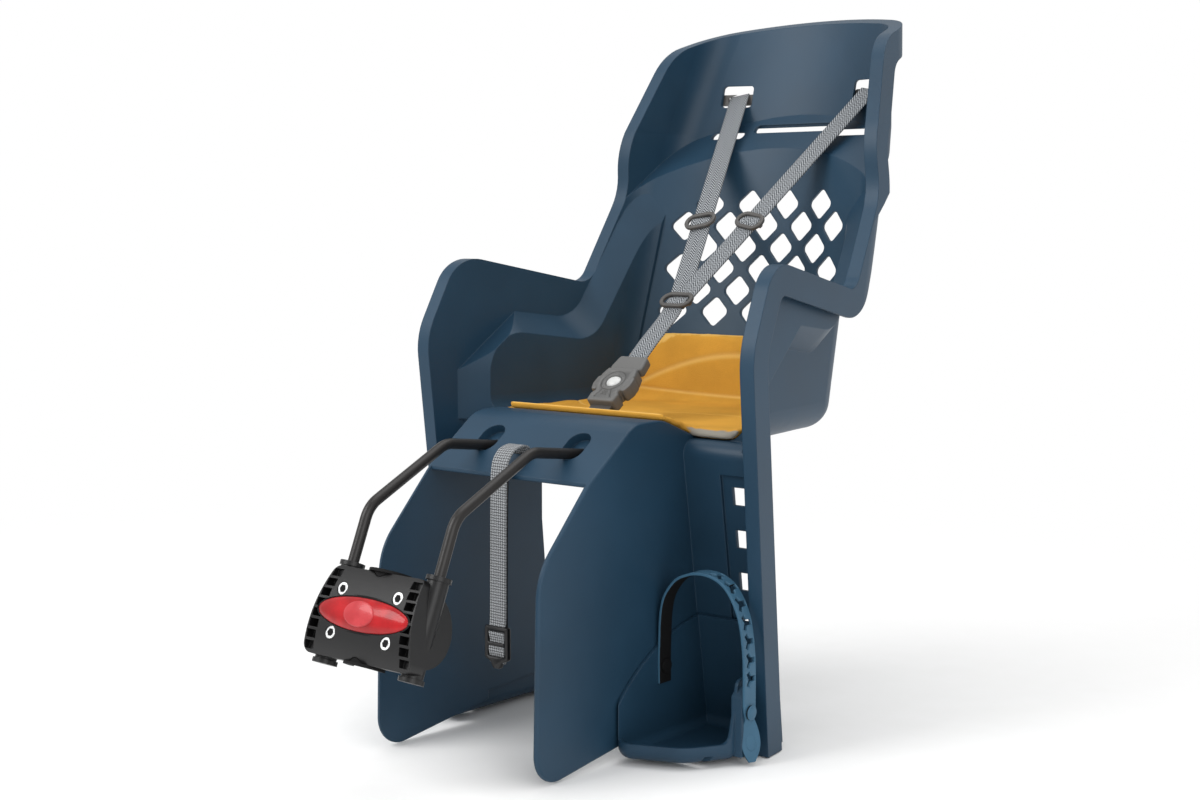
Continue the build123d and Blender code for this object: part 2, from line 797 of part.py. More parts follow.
with BuildPart() as block_front:
    with BuildSketch(block_side):
        with BuildLine():
            ThreePointArc((bow_end, -block_reach), (block_mid_forward, 0), (bow_end, block_reach))
            Polyline(
                (bow_end, block_reach), (block_split / 2, block_reach),
                (block_split / 2, -block_reach), (bow_end, -block_reach),
            )
        make_face()
    extrude(amount=block_low_half_width, both=True)
    add(block_outline.part, mode=Mode.INTERSECT)
    add(cheeks.part)
    with BuildSketch(block_level.offset(-block_half_height - socket_reach)):
        with Locations(*rod_places):
            Circle(socket_radius)
    extrude(amount=2 * (block_half_height + socket_reach))
    for start in [-block_half_height - socket_reach, block_half_height + socket_reach - socket_ring_height]:
        with BuildSketch(block_level.offset(start)):
            with Locations(*rod_places):
                Circle(socket_radius + socket_ring)
        extrude(amount=socket_ring_height)
    with BuildSketch(block_level.offset(-reach)):
        Circle(bore_radius)
        with Locations(*rod_places):
            Circle(rod_radius + shaft_gap)
    extrude(amount=2 * reach, mode=Mode.SUBTRACT)
    with BuildSketch(block_face.offset(button_floor)):
        Ellipse(button_half_length + slide_gap, button_half_height + slide_gap)
    extrude(amount=block_mid_forward, mode=Mode.SUBTRACT)
    with BuildSketch(block_face.offset(block_edge_forward - cell_depth / 2)):
        with Locations(*cell_places):
            Rectangle(cell_width, cell_height)
    extrude(amount=block_mid_forward, mode=Mode.SUBTRACT)
    with BuildSketch(block_face.offset(bolt_seat)):
        with Locations(*bolt_places):
            Circle(bolt_head_diameter / 2 + slide_gap)
    extrude(amount=block_mid_forward, mode=Mode.SUBTRACT)
    with BuildSketch(block_face):
        with Locations(*bolt_places):
            Circle(bolt_diameter / 2 + slide_gap)
    extrude(amount=block_mid_forward, mode=Mode.SUBTRACT)
    with BuildSketch(block_face.offset(button_back)):
        with Locations(*stem_places):
            Circle(button_stem_diameter / 2 + shaft_gap)
    extrude(amount=-button_stem_length - button_travel - soft_gap, mode=Mode.SUBTRACT)
block_front.part.label = "block_front"
export_step(block_front.part, "parts/block_front.step")

# Block: rear half, rounded at the back
with BuildPart() as block_rear:
    with BuildSketch(block_level.offset(-rear_half_height)) as rear_outline:
        with BuildLine():
            ThreePointArc(
                (-rear_half_width, rear_depth / 2), (0, rear_depth), (rear_half_width, rear_depth / 2)
            )
            Polyline(
                (rear_half_width, rear_depth / 2), (rear_half_width, block_split / 2),
                (-rear_half_width, block_split / 2), (-rear_half_width, rear_depth / 2),
            )
        make_face()
        Circle(bore_radius, mode=Mode.SUBTRACT)
    extrude(amount=2 * rear_half_height)
    with BuildSketch(block_face):
        with Locations(*bolt_places):
            Circle(bolt_diameter / 2 + slide_gap)
    extrude(amount=-2 * rear_depth, mode=Mode.SUBTRACT)
    with BuildSketch(block_face.offset(-rear_depth / 2)):
        with Locations(*bolt_places):
            RegularPolygon(nut_across / 2 + shaft_gap, 6, major_radius=False)
    extrude(amount=-rear_depth, mode=Mode.SUBTRACT)
block_rear.part.label = "block_rear"
export_step(block_rear.part, "parts/block_rear.step")

# Rubber liners between the block and the tube, with a flange at each end
for name, way in [("tube_liner_front", -1), ("tube_liner_rear", 1)]:
    half_height = block_half_height if way < 0 else rear_half_height
    with BuildPart() as liner:
        with BuildSketch(block_level.offset(-half_height)):
            Circle(bore_radius - shaft_gap)
        extrude(amount=2 * half_height)
        for start in [-half_height - liner_flange_height, half_height]:
            with BuildSketch(block_level.offset(start)):
                Circle(bore_radius + liner_flange)
            extrude(amount=liner_flange_height)
        with BuildSketch(block_level.offset(-reach)):
            Circle(tube_radius)
        extrude(amount=2 * reach, mode=Mode.SUBTRACT)
        with BuildSketch(block_level.offset(-reach)):
            with Locations((0, way * (block_split / 2 + reach / 2))):
                Rectangle(reach, reach)
        extrude(amount=2 * reach, mode=Mode.INTERSECT)
    liner.part.label = name
    export_step(liner.part, f"parts/{name}.step")

# Bolts through both halves, with hexagon sockets, and their nuts
nut_seat = -rear_depth / 2
with BuildPart() as block_bolts:
    with BuildSketch(block_face.offset(bolt_seat)):
        with Locations(*bolt_places):
            Circle(bolt_head_diameter / 2)
    extrude(amount=bolt_head_height)
    with BuildSketch(block_face.offset(bolt_seat + bolt_head_height)):
        with Locations(*bolt_places):
            RegularPolygon(bolt_hex / 2, 6, major_radius=False)
    extrude(amount=-bolt_head_height / 2, mode=Mode.SUBTRACT)
    with BuildSketch(block_face.offset(bolt_seat)):
        with Locations(*bolt_places):
            Circle(bolt_diameter / 2)
    extrude(amount=nut_seat - nut_height - bolt_seat)
block_bolts.part.label = "block_bolts"
export_step(block_bolts.part, "parts/block_bolts.step")

with BuildPart() as block_nuts:
    with BuildSketch(block_face.offset(nut_seat)):
        with Locations(*bolt_places):
            RegularPolygon(nut_across / 2, 6, major_radius=False)
            Circle(bolt_diameter / 2 + shaft_gap, mode=Mode.SUBTRACT)
    extrude(amount=-nut_height)
block_nuts.part.label = "block_nuts"
export_step(block_nuts.part, "parts/block_nuts.step")

# Release button: red oval lens on two stems, with bowed leaf springs behind it
with BuildPart() as release_button:
    with BuildSketch(block_face.offset(button_back)):
        Ellipse(button_half_length, button_half_height)
    extrude(amount=button_thickness)
    fillet(release_button.faces().sort_by(Axis.Y)[0].edges(), button_edge)
    with BuildSketch(block_face.offset(button_back + button_thickness / 2)):
        Circle(button_half_height - button_travel)
    extrude(amount=button_thickness / 2 + slide_gap)
    with BuildSketch(block_face.offset(button_back)):
        with Locations(*stem_places):
            Circle(button_stem_diameter / 2)
    extrude(amount=-button_stem_length)
release_button.part.label = "release_button"
export_step(release_button.part, "parts/release_button.step")

spring_span = button_stem_x - button_stem_diameter
with BuildPart() as release_springs:
    for x in [-spring_span / 2, spring_span / 2]:
        with BuildSketch(block_level):
            with BuildLine():
                low = -button_floor - release_spring_wall / 2 - shaft_gap
                high = -button_back + release_spring_wall / 2 + shaft_gap
                ThreePointArc((x - spring_span / 4, low), (x, high), (x + spring_span / 4, low))
            trace(line_width=release_spring_wall)
        extrude(amount=button_stem_diameter / 2, both=True)
release_springs.part.label = "release_springs"
export_step(release_springs.part, "parts/release_springs.step")


# Webbing of the harness: flat straps in straight runs
def strap_plane(start, end):
    """Plane across a strap at its start, with x across its width."""
    return Plane(start, x_dir=(1, 0, 0), z_dir=end - start)


def strap_run(start, end, width):
    """Flat strap from one point to another."""
    with BuildPart() as strap:
        with BuildSketch(strap_plane(start, end)):
            Rectangle(width, strap_thickness)
        extrude(amount=(end - start).length)
    return strap.part


def slider(place, width, length, gap):
    """Ladder slider round a strap: two rails, two bars over the strap and one under it."""
    bar_x = width - 2 * slider_bar
    end_y = (length - slider_bar) / 2
    with BuildPart() as frame:
        with BuildSketch(place.offset(-gap / 2 - slider_wall)):
            with Locations((-(width - slider_bar) / 2, 0), ((width - slider_bar) / 2, 0)):
                RectangleRounded(slider_bar, length, slider_bar / 3)
        extrude(amount=gap + 2 * slider_wall)
        with BuildSketch(place.offset(gap / 2)):
            with Locations((0, -end_y), (0, end_y)):
                Rectangle(bar_x + slider_bar, slider_bar)
        extrude(amount=slider_wall)
        with BuildSketch(place.offset(-gap / 2 - slider_wall)):
            Rectangle(bar_x + slider_bar, slider_bar)
        extrude(amount=slider_wall)
    return frame.part


def seat_point(x, y, z):
    """Point given from the seat's datum."""
    return Vector(x, seat_y + y, seat_z + z)


# Curve of the headrest at the shoulder slots
slot_rear, slot_corner, slot_side = back_arc(shoulder_slot_z, set_back=helmet_set_back)
slot_sag = slot_rear - slot_corner
slot_radius = (slot_side**2 + slot_sag**2) / (2 * slot_sag)
slot_y = slot_rear - slot_radius + math.sqrt(slot_radius**2 - shoulder_slot_x**2)

# The straps lie on the middle of the buckle's thickness
buckle_up = buckle_run.normalized()
buckle_out = buckle_plane.z_dir
mid_lift = buckle_out * (buckle_thickness / 2)
join_point = seat_point(0, *join)
tongue_top = seat_point(0, *buckle_top) + mid_lift
lower_up = (join_point - tongue_top).normalized()
shoulder_up = seat_point(0, slot_y, shoulder_slot_z) - join_point
join_up = lower_up + shoulder_up.normalized()
lower_plane = Plane(join_point, x_dir=(1, 0, 0), z_dir=Vector(1, 0, 0).cross(join_up))
layer_step = (strap_thickness + slide_gap) / 2

for name, way in [("left", 1), ("right", -1)]:
    slot_point = seat_point(way * shoulder_slot_x, slot_y + wall / 2, shoulder_slot_z)
    strap_end = join_point + lower_plane.z_dir * (way * layer_step) + lower_up * slider_bar
    strap_end = strap_end + Vector(way * join_half_spacing, 0, 0)
    strap_way = (slot_point - strap_end).normalized()
    with BuildPart() as shoulder_strap:
        add(strap_run(strap_end, slot_point + strap_way * (2 * wall + retainer_thickness), strap_width))
    shoulder_strap.part.label = f"shoulder_strap_{name}"
    export_step(shoulder_strap.part, f"parts/shoulder_strap_{name}.step")

    slider_point = slot_point + (strap_end - slot_point) * shoulder_slider_share
    across = strap_plane(strap_end, slot_point)
    slider_place = Plane(slider_point, x_dir=across.x_dir, z_dir=across.x_dir.cross(across.z_dir))
    with BuildPart() as shoulder_slider:
        add(slider(slider_place, slider_width, slider_length, strap_thickness + 2 * slide_gap))
    shoulder_slider.part.label = f"shoulder_slider_{name}"
    export_step(shoulder_slider.part, f"parts/shoulder_slider_{name}.step")

    # Bar behind the backrest that keeps the strap from pulling out
    lean = way * shoulder_slot_x / slot_radius
    back_normal = Vector(lean, math.sqrt(1 - lean**2), -back_lean).normalized()
    bar_point = slot_point + back_normal * (wall / 2 + 2 * soft_gap)
    bar_place = Plane(bar_point, x_dir=Vector(0, 0, 1).cross(back_normal) * -1, z_dir=back_normal)
    with BuildPart() as strap_retainer:
        with BuildSketch(bar_place):
            RectangleRounded(retainer_width, retainer_height, retainer_thickness)
        extrude(amount=retainer_thickness)
        with BuildSketch(strap_plane(strap_end, slot_point)):
            Rectangle(strap_width + 2 * slide_gap, strap_thickness + 2 * slide_gap)
        extrude(amount=2 * (slot_point - strap_end).length, mode=Mode.SUBTRACT)
    strap_retainer.part.label = f"strap_retainer_{name}"
    export_step(strap_retainer.part, f"parts/strap_retainer_{name}.step")

with BuildPart() as lower_slider:
    add(slider(lower_plane, lower_slider_width, slider_length, 2 * strap_thickness + 5 * slide_gap))
lower_slider.part.label = "lower_slider"
export_step(lower_slider.part, "parts/lower_slider.step")

tongue_slot = tongue_top - lower_up * tongue_grip
with BuildPart() as lower_strap:
    add(strap_run(tongue_slot, join_point - lower_up * slider_wall, strap_width))
lower_strap.part.label = "lower_strap"
export_step(lower_strap.part, "parts/lower_strap.step")

# Buckle: hollow body, tongue, press button and its leaf spring
tongue_end = buckle_run.length
blade_length = buckle_length * blade_share
cavity_half = tongue_thickness / 2 + slide_gap
button_y = buckle_length * button_share
mid_plane = buckle_plane.offset(buckle_thickness / 2)
with BuildPart() as buckle_body:
    with BuildSketch(buckle_plane) as body_outline:
        with BuildLine():
            Polyline(
                (-buckle_width / 2, buckle_length), (-buckle_width / 2, buckle_length / 3),
                (-buckle_width / 3, 0), (buckle_width / 3, 0),
                (buckle_width / 2, buckle_length / 3), (buckle_width / 2, buckle_length),
                close=True,
            )
        make_face()
        fillet(body_outline.vertices().group_by(Axis.Z)[0], buckle_wall)
    extrude(amount=buckle_thickness)
    mouth = mid_plane.from_local_coords((0, buckle_length, 0))
    with BuildSketch(Plane(mouth, x_dir=(1, 0, 0), z_dir=buckle_up)):
        Rectangle(tongue_width + 2 * slide_gap, 2 * cavity_half)
    extrude(amount=-blade_length - slide_gap, mode=Mode.SUBTRACT)
    with BuildSketch(mid_plane):
        with Locations((0, button_y)):
            Ellipse(button_slot_width / 2 + slide_gap, button_slot_length / 2 + slide_gap)
    extrude(amount=buckle_thickness, mode=Mode.SUBTRACT)
    with BuildSketch(Plane(mid_plane.origin, x_dir=(1, 0, 0), z_dir=buckle_up)):
        Rectangle(crotch_width + 2 * slide_gap, strap_thickness + 2 * slide_gap)
    extrude(amount=buckle_length / 5, mode=Mode.SUBTRACT)
buckle_body.part.label = "buckle_body"
export_step(buckle_body.part, "parts/buckle_body.step")

with BuildPart() as buckle_tongue:
    with BuildSketch(mid_plane.offset(-tongue_thickness / 2)):
        with Locations((0, buckle_length - blade_length / 2 + buckle_wall / 2)):
            Rectangle(tongue_width, blade_length + buckle_wall)
    extrude(amount=tongue_thickness)
    with BuildSketch(buckle_plane.offset(buckle_wall)):
        with Locations((0, (buckle_length + slide_gap + tongue_end) / 2)):
            RectangleRounded(
                buckle_width - 2 * buckle_wall, tongue_end - buckle_length - slide_gap, 2 * buckle_wall
            )
    extrude(amount=buckle_thickness - 2 * buckle_wall)
    with BuildSketch(strap_plane(tongue_slot - lower_up * slide_gap, join_point)):
        Rectangle(strap_width + 2 * slide_gap, strap_thickness + 2 * slide_gap)
    extrude(amount=2 * tongue_grip, mode=Mode.SUBTRACT)
buckle_tongue.part.label = "buckle_tongue"
export_step(buckle_tongue.part, "parts/buckle_tongue.step")

blade_top = tongue_thickness / 2
button_under = blade_top + soft_gap + buckle_button_travel
button_top = buckle_thickness / 2 + buckle_button_proud
with BuildPart() as buckle_button:
    with BuildSketch(mid_plane.offset(button_under)):
        with Locations((0, button_y)):
            Ellipse(button_slot_width / 2, button_slot_length / 2)
    extrude(amount=button_top - button_under)
    fillet(buckle_button.faces().sort_by(Axis.Z)[-1].edges(), buckle_button_proud / 2)
buckle_button.part.label = "buckle_button"
export_step(buckle_button.part, "parts/buckle_button.step")

leaf_low = blade_top + release_spring_wall / 2 + shaft_gap
leaf_high = button_under - release_spring_wall / 2 - shaft_gap
with BuildPart() as buckle_spring:
    with BuildSketch(Plane(mid_plane.origin, x_dir=buckle_up, z_dir=(1, 0, 0))):
        with BuildLine():
            ThreePointArc(
                (button_y - button_slot_length / 3, leaf_low), (button_y, leaf_high),
                (button_y + button_slot_length / 3, leaf_low),
            )
        trace(line_width=release_spring_wall)
    extrude(amount=button_slot_width / 6, both=True)
buckle_spring.part.label = "buckle_spring"
export_step(buckle_spring.part, "parts/buckle_spring.step")


def pommel_z(y):
    """Height of the bridge behind its crown, where it falls to the pan."""
    fall = (pommel_rear[1] - pommel_foot[1]) / (pommel_foot[0] - pommel_rear[0])
    return pommel_rear[1] - fall * (y - pommel_rear[0])


# Crotch strap: from the buckle's foot down through the bridge, with a bar under it
foot_mid = mid_plane.origin - Vector(0, seat_y, seat_z)
strap_in = foot_mid + buckle_up * (buckle_length / 6)
strap_out = foot_mid - buckle_up * (buckle_wall * 2)
with BuildPart() as crotch_strap:
    with BuildSketch(seen_from_left(0)):
        with BuildLine():
            FilletPolyline(
                (strap_in.Y, strap_in.Z), (strap_out.Y, strap_out.Z),
                (crotch_y, pommel_z(crotch_y) - wall - 4 * retainer_thickness), radius=2 * strap_thickness,
            )
        trace(line_width=strap_thickness)
    extrude(amount=crotch_width / 2, both=True)
crotch_strap.part.label = "crotch_strap"
export_step(crotch_strap.part, "parts/crotch_strap.step")

bar_origin = seat_point(0, crotch_y, pommel_z(crotch_y) - wall - soft_gap)
pommel_fall = Vector(0, pommel_rear[1] - pommel_foot[1], pommel_foot[0] - pommel_rear[0])
with BuildPart() as crotch_retainer:
    with BuildSketch(Plane(bar_origin, x_dir=(1, 0, 0), z_dir=pommel_fall)):
        RectangleRounded(retainer_width, retainer_height, retainer_thickness)
    extrude(amount=-retainer_thickness)
    with BuildSketch(level(0)):
        with Locations((0, crotch_y)):
            Rectangle(crotch_width + 2 * slide_gap, 2 * strap_thickness + 2 * slide_gap)
    extrude(amount=reach, mode=Mode.SUBTRACT)
crotch_retainer.part.label = "crotch_retainer"
export_step(crotch_retainer.part, "parts/crotch_retainer.step")

# Security strap: out of the bridge's slot and down in front of it, with a ladder lock at the end
slot_plane = on_bridge(security_slot_share)
slot_middle = slot_plane.origin - Vector(0, seat_y, seat_z)
strap_under = slot_middle - slot_plane.z_dir * (2 * wall + 2 * retainer_thickness)
strap_over = slot_middle + slot_plane.z_dir * wall
with BuildPart() as security_strap:
    with BuildSketch(seen_from_left(0)):
        with BuildLine():
            FilletPolyline(
                (strap_under.Y, strap_under.Z), (strap_over.Y, strap_over.Z),
                (security_drop_y, strap_over.Z - 2 * wall), (security_drop_y - wall / 2, security_end_z),
                radius=[security_thickness, 3 * wall],
            )
        trace(line_width=security_thickness)
    extrude(amount=security_width / 2, both=True)
security_strap.part.label = "security_strap"
export_step(security_strap.part, "parts/security_strap.step")

lock_middle = seat_point(0, security_drop_y - wall / 2, security_end_z + lock_length / 6)
with BuildPart() as ladder_lock:
    add(slider(Plane(lock_middle, x_dir=(1, 0, 0), z_dir=(0, -1, 0)), lock_width, lock_length, lock_gap))
ladder_lock.part.label = "ladder_lock"
export_step(ladder_lock.part, "parts/ladder_lock.step")

with BuildPart() as security_retainer:
    with BuildSketch(slot_plane.offset(-bridge_under - soft_gap)):
        RectangleRounded(retainer_width, retainer_height, retainer_thickness)
        Rectangle(
            security_width + 2 * slide_gap, security_thickness + 2 * slide_gap, mode=Mode.SUBTRACT
        )
    extrude(amount=-retainer_thickness)
security_retainer.part.label = "security_retainer"
export_step(security_retainer.part, "parts/security_retainer.step")

# Pad: lies in the tub and over the back of the bridge
pad_under = bucket(-soft_gap, 0, tub_inset, pan_z + soft_gap, roof_z, pan_round - soft_gap)
pad_over = bucket(
    -soft_gap - pad_thickness, 0, tub_inset, pan_z + soft_gap + pad_thickness, roof_z + wall,
    pan_round - soft_gap - pad_thickness,
)
pad_start_y = calf_y(pan_z) + calf_roll
pad_outline = side_slab(
    -reach, reach, (pad_start_y, 0), (pad_start_y, pad_side_z), (pad_rise_y, pad_side_z),
    (pad_rise_y + pad_top_z - pad_side_z, pad_top_z), (2 * reach, pad_top_z), (2 * reach, 0),
)
pad_lift = 3 * soft_gap
with BuildPart() as seat_pad:
    add(((pad_under - pad_over) & pad_outline) - plates)
    add(
        side_slab(
            -plate_half_width + plate_edge, plate_half_width - plate_edge,
            (pad_front_y, pommel_z(pad_front_y) + pad_lift), (pommel_foot[0], pommel_foot[1] + pad_lift),
            (pommel_foot[0] + calf_roll, pan_z + pad_lift),
            (pommel_foot[0] + calf_roll, pan_z + soft_gap + pad_thickness),
            (pommel_foot[0], pommel_foot[1] + pad_thickness),
            (pad_front_y, pommel_z(pad_front_y) + pad_thickness),
        )
    )
    with BuildSketch(level(0)):
        with Locations((0, crotch_y)):
            SlotOverall(crotch_width + 4 * strap_thickness, 6 * strap_thickness)
    extrude(amount=reach, mode=Mode.SUBTRACT)
seat_pad.part.label = "seat_pad"
export_step(seat_pad.part, "parts/seat_pad.step")

# Footrest: scoop that slides on the calf wall, with a rail in its track and an ear for the strap
tray_x = plate_half_width + slide_gap
tray_gap = 1.5 * slide_gap
tray_behind = calf_y(0)


def tray_cheek_x(y):
    """Outer side of the footrest, just inside the leg guard's outer wall."""
    return half_width(y, 0, -tray_gap)


def tray_blank(inset):
    """Scoop without its hollow: plan outline drawn in by an inset, leaning at the back."""
    top = tray_back_z
    with BuildPart() as blank:
        with BuildSketch(level(tray_floor_z + inset)):
            with BuildLine():
                path = FilletPolyline(
                    (tray_x, tray_behind), (tray_x, tray_toe_y), tray_nose,
                    (tray_cheek_x(tray_cheek_y), tray_cheek_y), (tray_cheek_x(tray_behind), tray_behind),
                    radius=[4 * tray_wall, 10 * tray_wall, 5 * tray_wall],
                )
                Line(path @ 1, path @ 0)
            make_face()
            if inset:
                offset(amount=-inset)
        extrude(amount=top)
        add(
            side_slab(
                0, reach, (-reach, 0), (calf_y(0) - slide_gap - inset, 0),
                (calf_y(2 * top) - slide_gap - inset, 2 * top), (-reach, 2 * top),
            ),
            mode=Mode.INTERSECT,
        )
        fillet(blank.faces().sort_by(Axis.Z)[0].edges(), tray_round + tray_wall - inset)
    return blank.part


ear_x = tray_cheek_x(foot_strap_y)
ear_front = foot_strap_y - foot_strap_width / 2
ear_rear = foot_strap_y + foot_strap_width / 2
with BuildPart() as footrest_left:
    add(tray_blank(0))
    add(tray_blank(tray_wall), mode=Mode.SUBTRACT)
    # Inner side falls in one curve from the back to the toe
    with BuildSketch(seen_from_left(0)):
        with BuildLine():
            fall = ThreePointArc((tray_toe_y, tray_toe_z), tray_side, (tray_behind, tray_back_z))
            Polyline(fall @ 1, (tray_behind, reach), (-reach, reach), (-reach, tray_toe_z), fall @ 0)
        make_face()
    extrude(amount=tray_x + tray_wall, mode=Mode.SUBTRACT)
    # The rest falls to a low front lip
    with BuildSketch(seen_from_left(tray_x + tray_wall)):
        with BuildLine():
            brow = FilletPolyline(
                (-reach, tray_lip_z), (tray_cheek_y - tray_wall, tray_lip_z),
                (tray_cheek_y + 2 * tray_wall, tray_cheek_z),
                (calf_y(tray_cheek_z) - 4 * tray_wall, tray_cheek_z),
                (calf_y(tray_back_z) - 2 * tray_wall, tray_back_z), (tray_behind, tray_back_z),
                radius=tray_round,
            )
            Polyline(brow @ 1, (tray_behind, reach), (-reach, reach), brow @ 0)
        make_face()
    extrude(amount=reach, mode=Mode.SUBTRACT)
    add(
        side_slab(
            track_x - track_width / 2 + slide_gap, track_x + track_width / 2 - slide_gap,
            (calf_y(tray_lip_z) - tray_wall, tray_lip_z),
            (calf_y(tray_back_z) - tray_wall, tray_back_z - tray_wall),
            (calf_y(tray_back_z) + track_depth - slide_gap, tray_back_z - tray_wall),
            (calf_y(tray_lip_z) + track_depth - slide_gap, tray_lip_z),
        )
    )
    add(
        side_slab(
            ear_x - tray_wall, ear_x + ear_thickness, (ear_front, ear_low_z), (ear_rear, ear_low_z),
            (ear_rear, ear_high_z - ear_thickness), (ear_rear - ear_thickness, ear_high_z),
            (ear_front + ear_thickness, ear_high_z), (ear_front, ear_high_z - ear_thickness),
        )
    )
    # Slot across the floor, and holes for the strap's stud and rivet
    with BuildSketch(level(0)):
        with Locations((tray_nose[0] - 4 * tray_wall, tray_nose[1] + 6 * tray_wall)):
            SlotOverall(tray_nose[0] - tray_x, 2 * tray_wall)
    extrude(amount=3 * tray_wall, mode=Mode.SUBTRACT)
    with BuildSketch(seen_from_left(0)):
        with Locations((foot_strap_y, rivet_z)):
            Circle(stud_diameter / 2 + shaft_gap)
    extrude(amount=tray_x + 2 * tray_wall, mode=Mode.SUBTRACT)
    with BuildSketch(seen_from_left(ear_x + ear_thickness)):
        with Locations((foot_strap_y, stud_z)):
            Circle(stud_diameter / 2 + shaft_gap)
    extrude(amount=-ear_thickness, mode=Mode.SUBTRACT)

strap_in_x = tray_x + tray_wall + shaft_gap + foot_strap_thickness / 2
strap_out_x = ear_x + ear_thickness + shaft_gap + foot_strap_thickness / 2
arch_radius = (strap_out_x - strap_in_x) / 3
with BuildPart() as foot_strap_left:
    with BuildSketch(front(foot_strap_y)):
        with BuildLine():
            FilletPolyline(
                (strap_in_x, foot_strap_low_z), (strap_in_x, foot_strap_top_z),
                (strap_out_x - arch_radius / 2, foot_strap_top_z), (strap_out_x, ear_high_z + arch_radius),
                (strap_out_x, tail_z),
                radius=arch_radius,
            )
        trace(line_width=foot_strap_thickness)
    extrude(amount=foot_strap_width / 2, both=True)
    with BuildSketch(seen_from_left(0)):
        with Locations((foot_strap_y, rivet_z)):
            Circle(stud_diameter / 2 + shaft_gap)
    extrude(amount=strap_in_x + foot_strap_thickness, mode=Mode.SUBTRACT)
    with BuildSketch(seen_from_left(ear_x)):
        with Locations((foot_strap_y, stud_z)):
            Circle(stud_diameter / 2 + shaft_gap)
    extrude(amount=ear_thickness * 2, mode=Mode.SUBTRACT)

with BuildPart() as foot_studs_left:
    with BuildSketch(seen_from_left(ear_x + shaft_gap)):
        with Locations((foot_strap_y, stud_z)):
            Circle(stud_diameter / 2)
    extrude(amount=ear_thickness + foot_strap_thickness + 3 * shaft_gap)
    with BuildSketch(seen_from_left(strap_out_x + foot_strap_thickness / 2 + shaft_gap)):
        with Locations((foot_strap_y, stud_z)):
            Circle(stud_head_diameter / 2)
    extrude(amount=stud_head_height)
    with BuildSketch(seen_from_left(tray_x)):
        with Locations((foot_strap_y, rivet_z)):
            Circle(stud_diameter / 2)
    extrude(amount=tray_wall + foot_strap_thickness + 3 * shaft_gap)
    with BuildSketch(seen_from_left(strap_in_x + foot_strap_thickness / 2 + shaft_gap)):
        with Locations((foot_strap_y, rivet_z)):
            Circle(stud_head_diameter / 2)
    extrude(amount=stud_head_height)

foot_pieces = [("footrest", footrest_left), ("foot_strap", foot_strap_left), ("foot_studs", foot_studs_left)]
for name, piece in foot_pieces:
    piece.part.label = f"{name}_left"
    export_step(piece.part, f"parts/{name}_left.step")
    with BuildPart() as other_side:
        mirror(piece.part, about=Plane.YZ)
    other_side.part.label = f"{name}_right"
    export_step(other_side.part, f"parts/{name}_right.step")
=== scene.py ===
"""Child bike seat: finishes, soft goods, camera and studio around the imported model."""

import logging
import math
from dataclasses import dataclass, field, replace
from enum import Enum
from functools import partial
from typing import Any, Callable, Dict, List, Optional, Sequence, Tuple, Union

import bmesh
import bpy
from mathutils import Matrix, Vector


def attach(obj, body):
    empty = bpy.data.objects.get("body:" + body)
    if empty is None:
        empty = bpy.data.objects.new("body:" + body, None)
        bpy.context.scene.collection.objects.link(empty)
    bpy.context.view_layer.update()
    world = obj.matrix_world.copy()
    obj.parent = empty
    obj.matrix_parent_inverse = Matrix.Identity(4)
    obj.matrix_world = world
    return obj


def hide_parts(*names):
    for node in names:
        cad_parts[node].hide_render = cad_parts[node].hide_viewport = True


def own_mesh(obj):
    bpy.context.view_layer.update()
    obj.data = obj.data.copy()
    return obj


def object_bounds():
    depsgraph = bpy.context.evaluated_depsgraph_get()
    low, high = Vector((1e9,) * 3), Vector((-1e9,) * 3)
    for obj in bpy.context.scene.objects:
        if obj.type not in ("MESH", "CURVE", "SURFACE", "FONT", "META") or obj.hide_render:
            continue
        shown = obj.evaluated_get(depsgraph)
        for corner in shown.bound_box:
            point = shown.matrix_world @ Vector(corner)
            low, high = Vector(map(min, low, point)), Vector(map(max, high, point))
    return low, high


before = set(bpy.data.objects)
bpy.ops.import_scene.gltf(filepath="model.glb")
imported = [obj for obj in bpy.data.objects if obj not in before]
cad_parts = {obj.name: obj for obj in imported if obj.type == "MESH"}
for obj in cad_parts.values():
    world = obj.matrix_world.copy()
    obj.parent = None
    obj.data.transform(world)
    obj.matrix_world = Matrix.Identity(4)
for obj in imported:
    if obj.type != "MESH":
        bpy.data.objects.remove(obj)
cad_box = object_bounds()
log = logging.getLogger("child_seat")

MM = 0.001
RIGHT, BACK, UP = Vector((1.0, 0.0, 0.0)), Vector((0.0, 1.0, 0.0)), Vector((0.0, 0.0, 1.0))
SIDES = (("left", 1), ("right", -1))
WHITE = (1.0, 1.0, 1.0)
SHARP_ANGLE = 1.2
LEAST_CORNER = 0.2
MOST_CUT = 0.48
SEAT_DATUM = Vector((0.0, 0.194, -0.148))
TUBE_TILT = math.radians(23.0)
PRESS_WAYS = {"release_press": (0.0, 0.920505, -0.390731), "buckle_press": (0.0, 0.606903, -0.794777)}
Pair = Tuple[float, float]
Triple = Tuple[float, float, float]
Colour = Triple
Pairs = Sequence[Pair]
Piece = bpy.types.Object
Material = bpy.types.Material
Input = Union["Socket", float, int, Sequence[float]]
Inputs = Dict[Union[str, int], Input]


class Body(Enum):
    """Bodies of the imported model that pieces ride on."""

    BLOCK = "block"
    SEAT = "seat"
    RELEASE = "release_button"
    BUCKLE_BUTTON = "buckle_button"
    FOOTREST_LEFT = "footrest_left"
    FOOTREST_RIGHT = "footrest_right"


class Weave(Enum):
    """Ways the webbing is woven."""

    HERRINGBONE = "herringbone"
    BASKET = "basket"


def srgb(code: str) -> Colour:
    """Linear colour of a hexadecimal screen colour."""
    values = [int(code[i:i + 2], 16) / 255 for i in (0, 2, 4)]
    return tuple(v / 12.92 if v <= 0.04045 else ((v + 0.055) / 1.055) ** 2.4 for v in values)


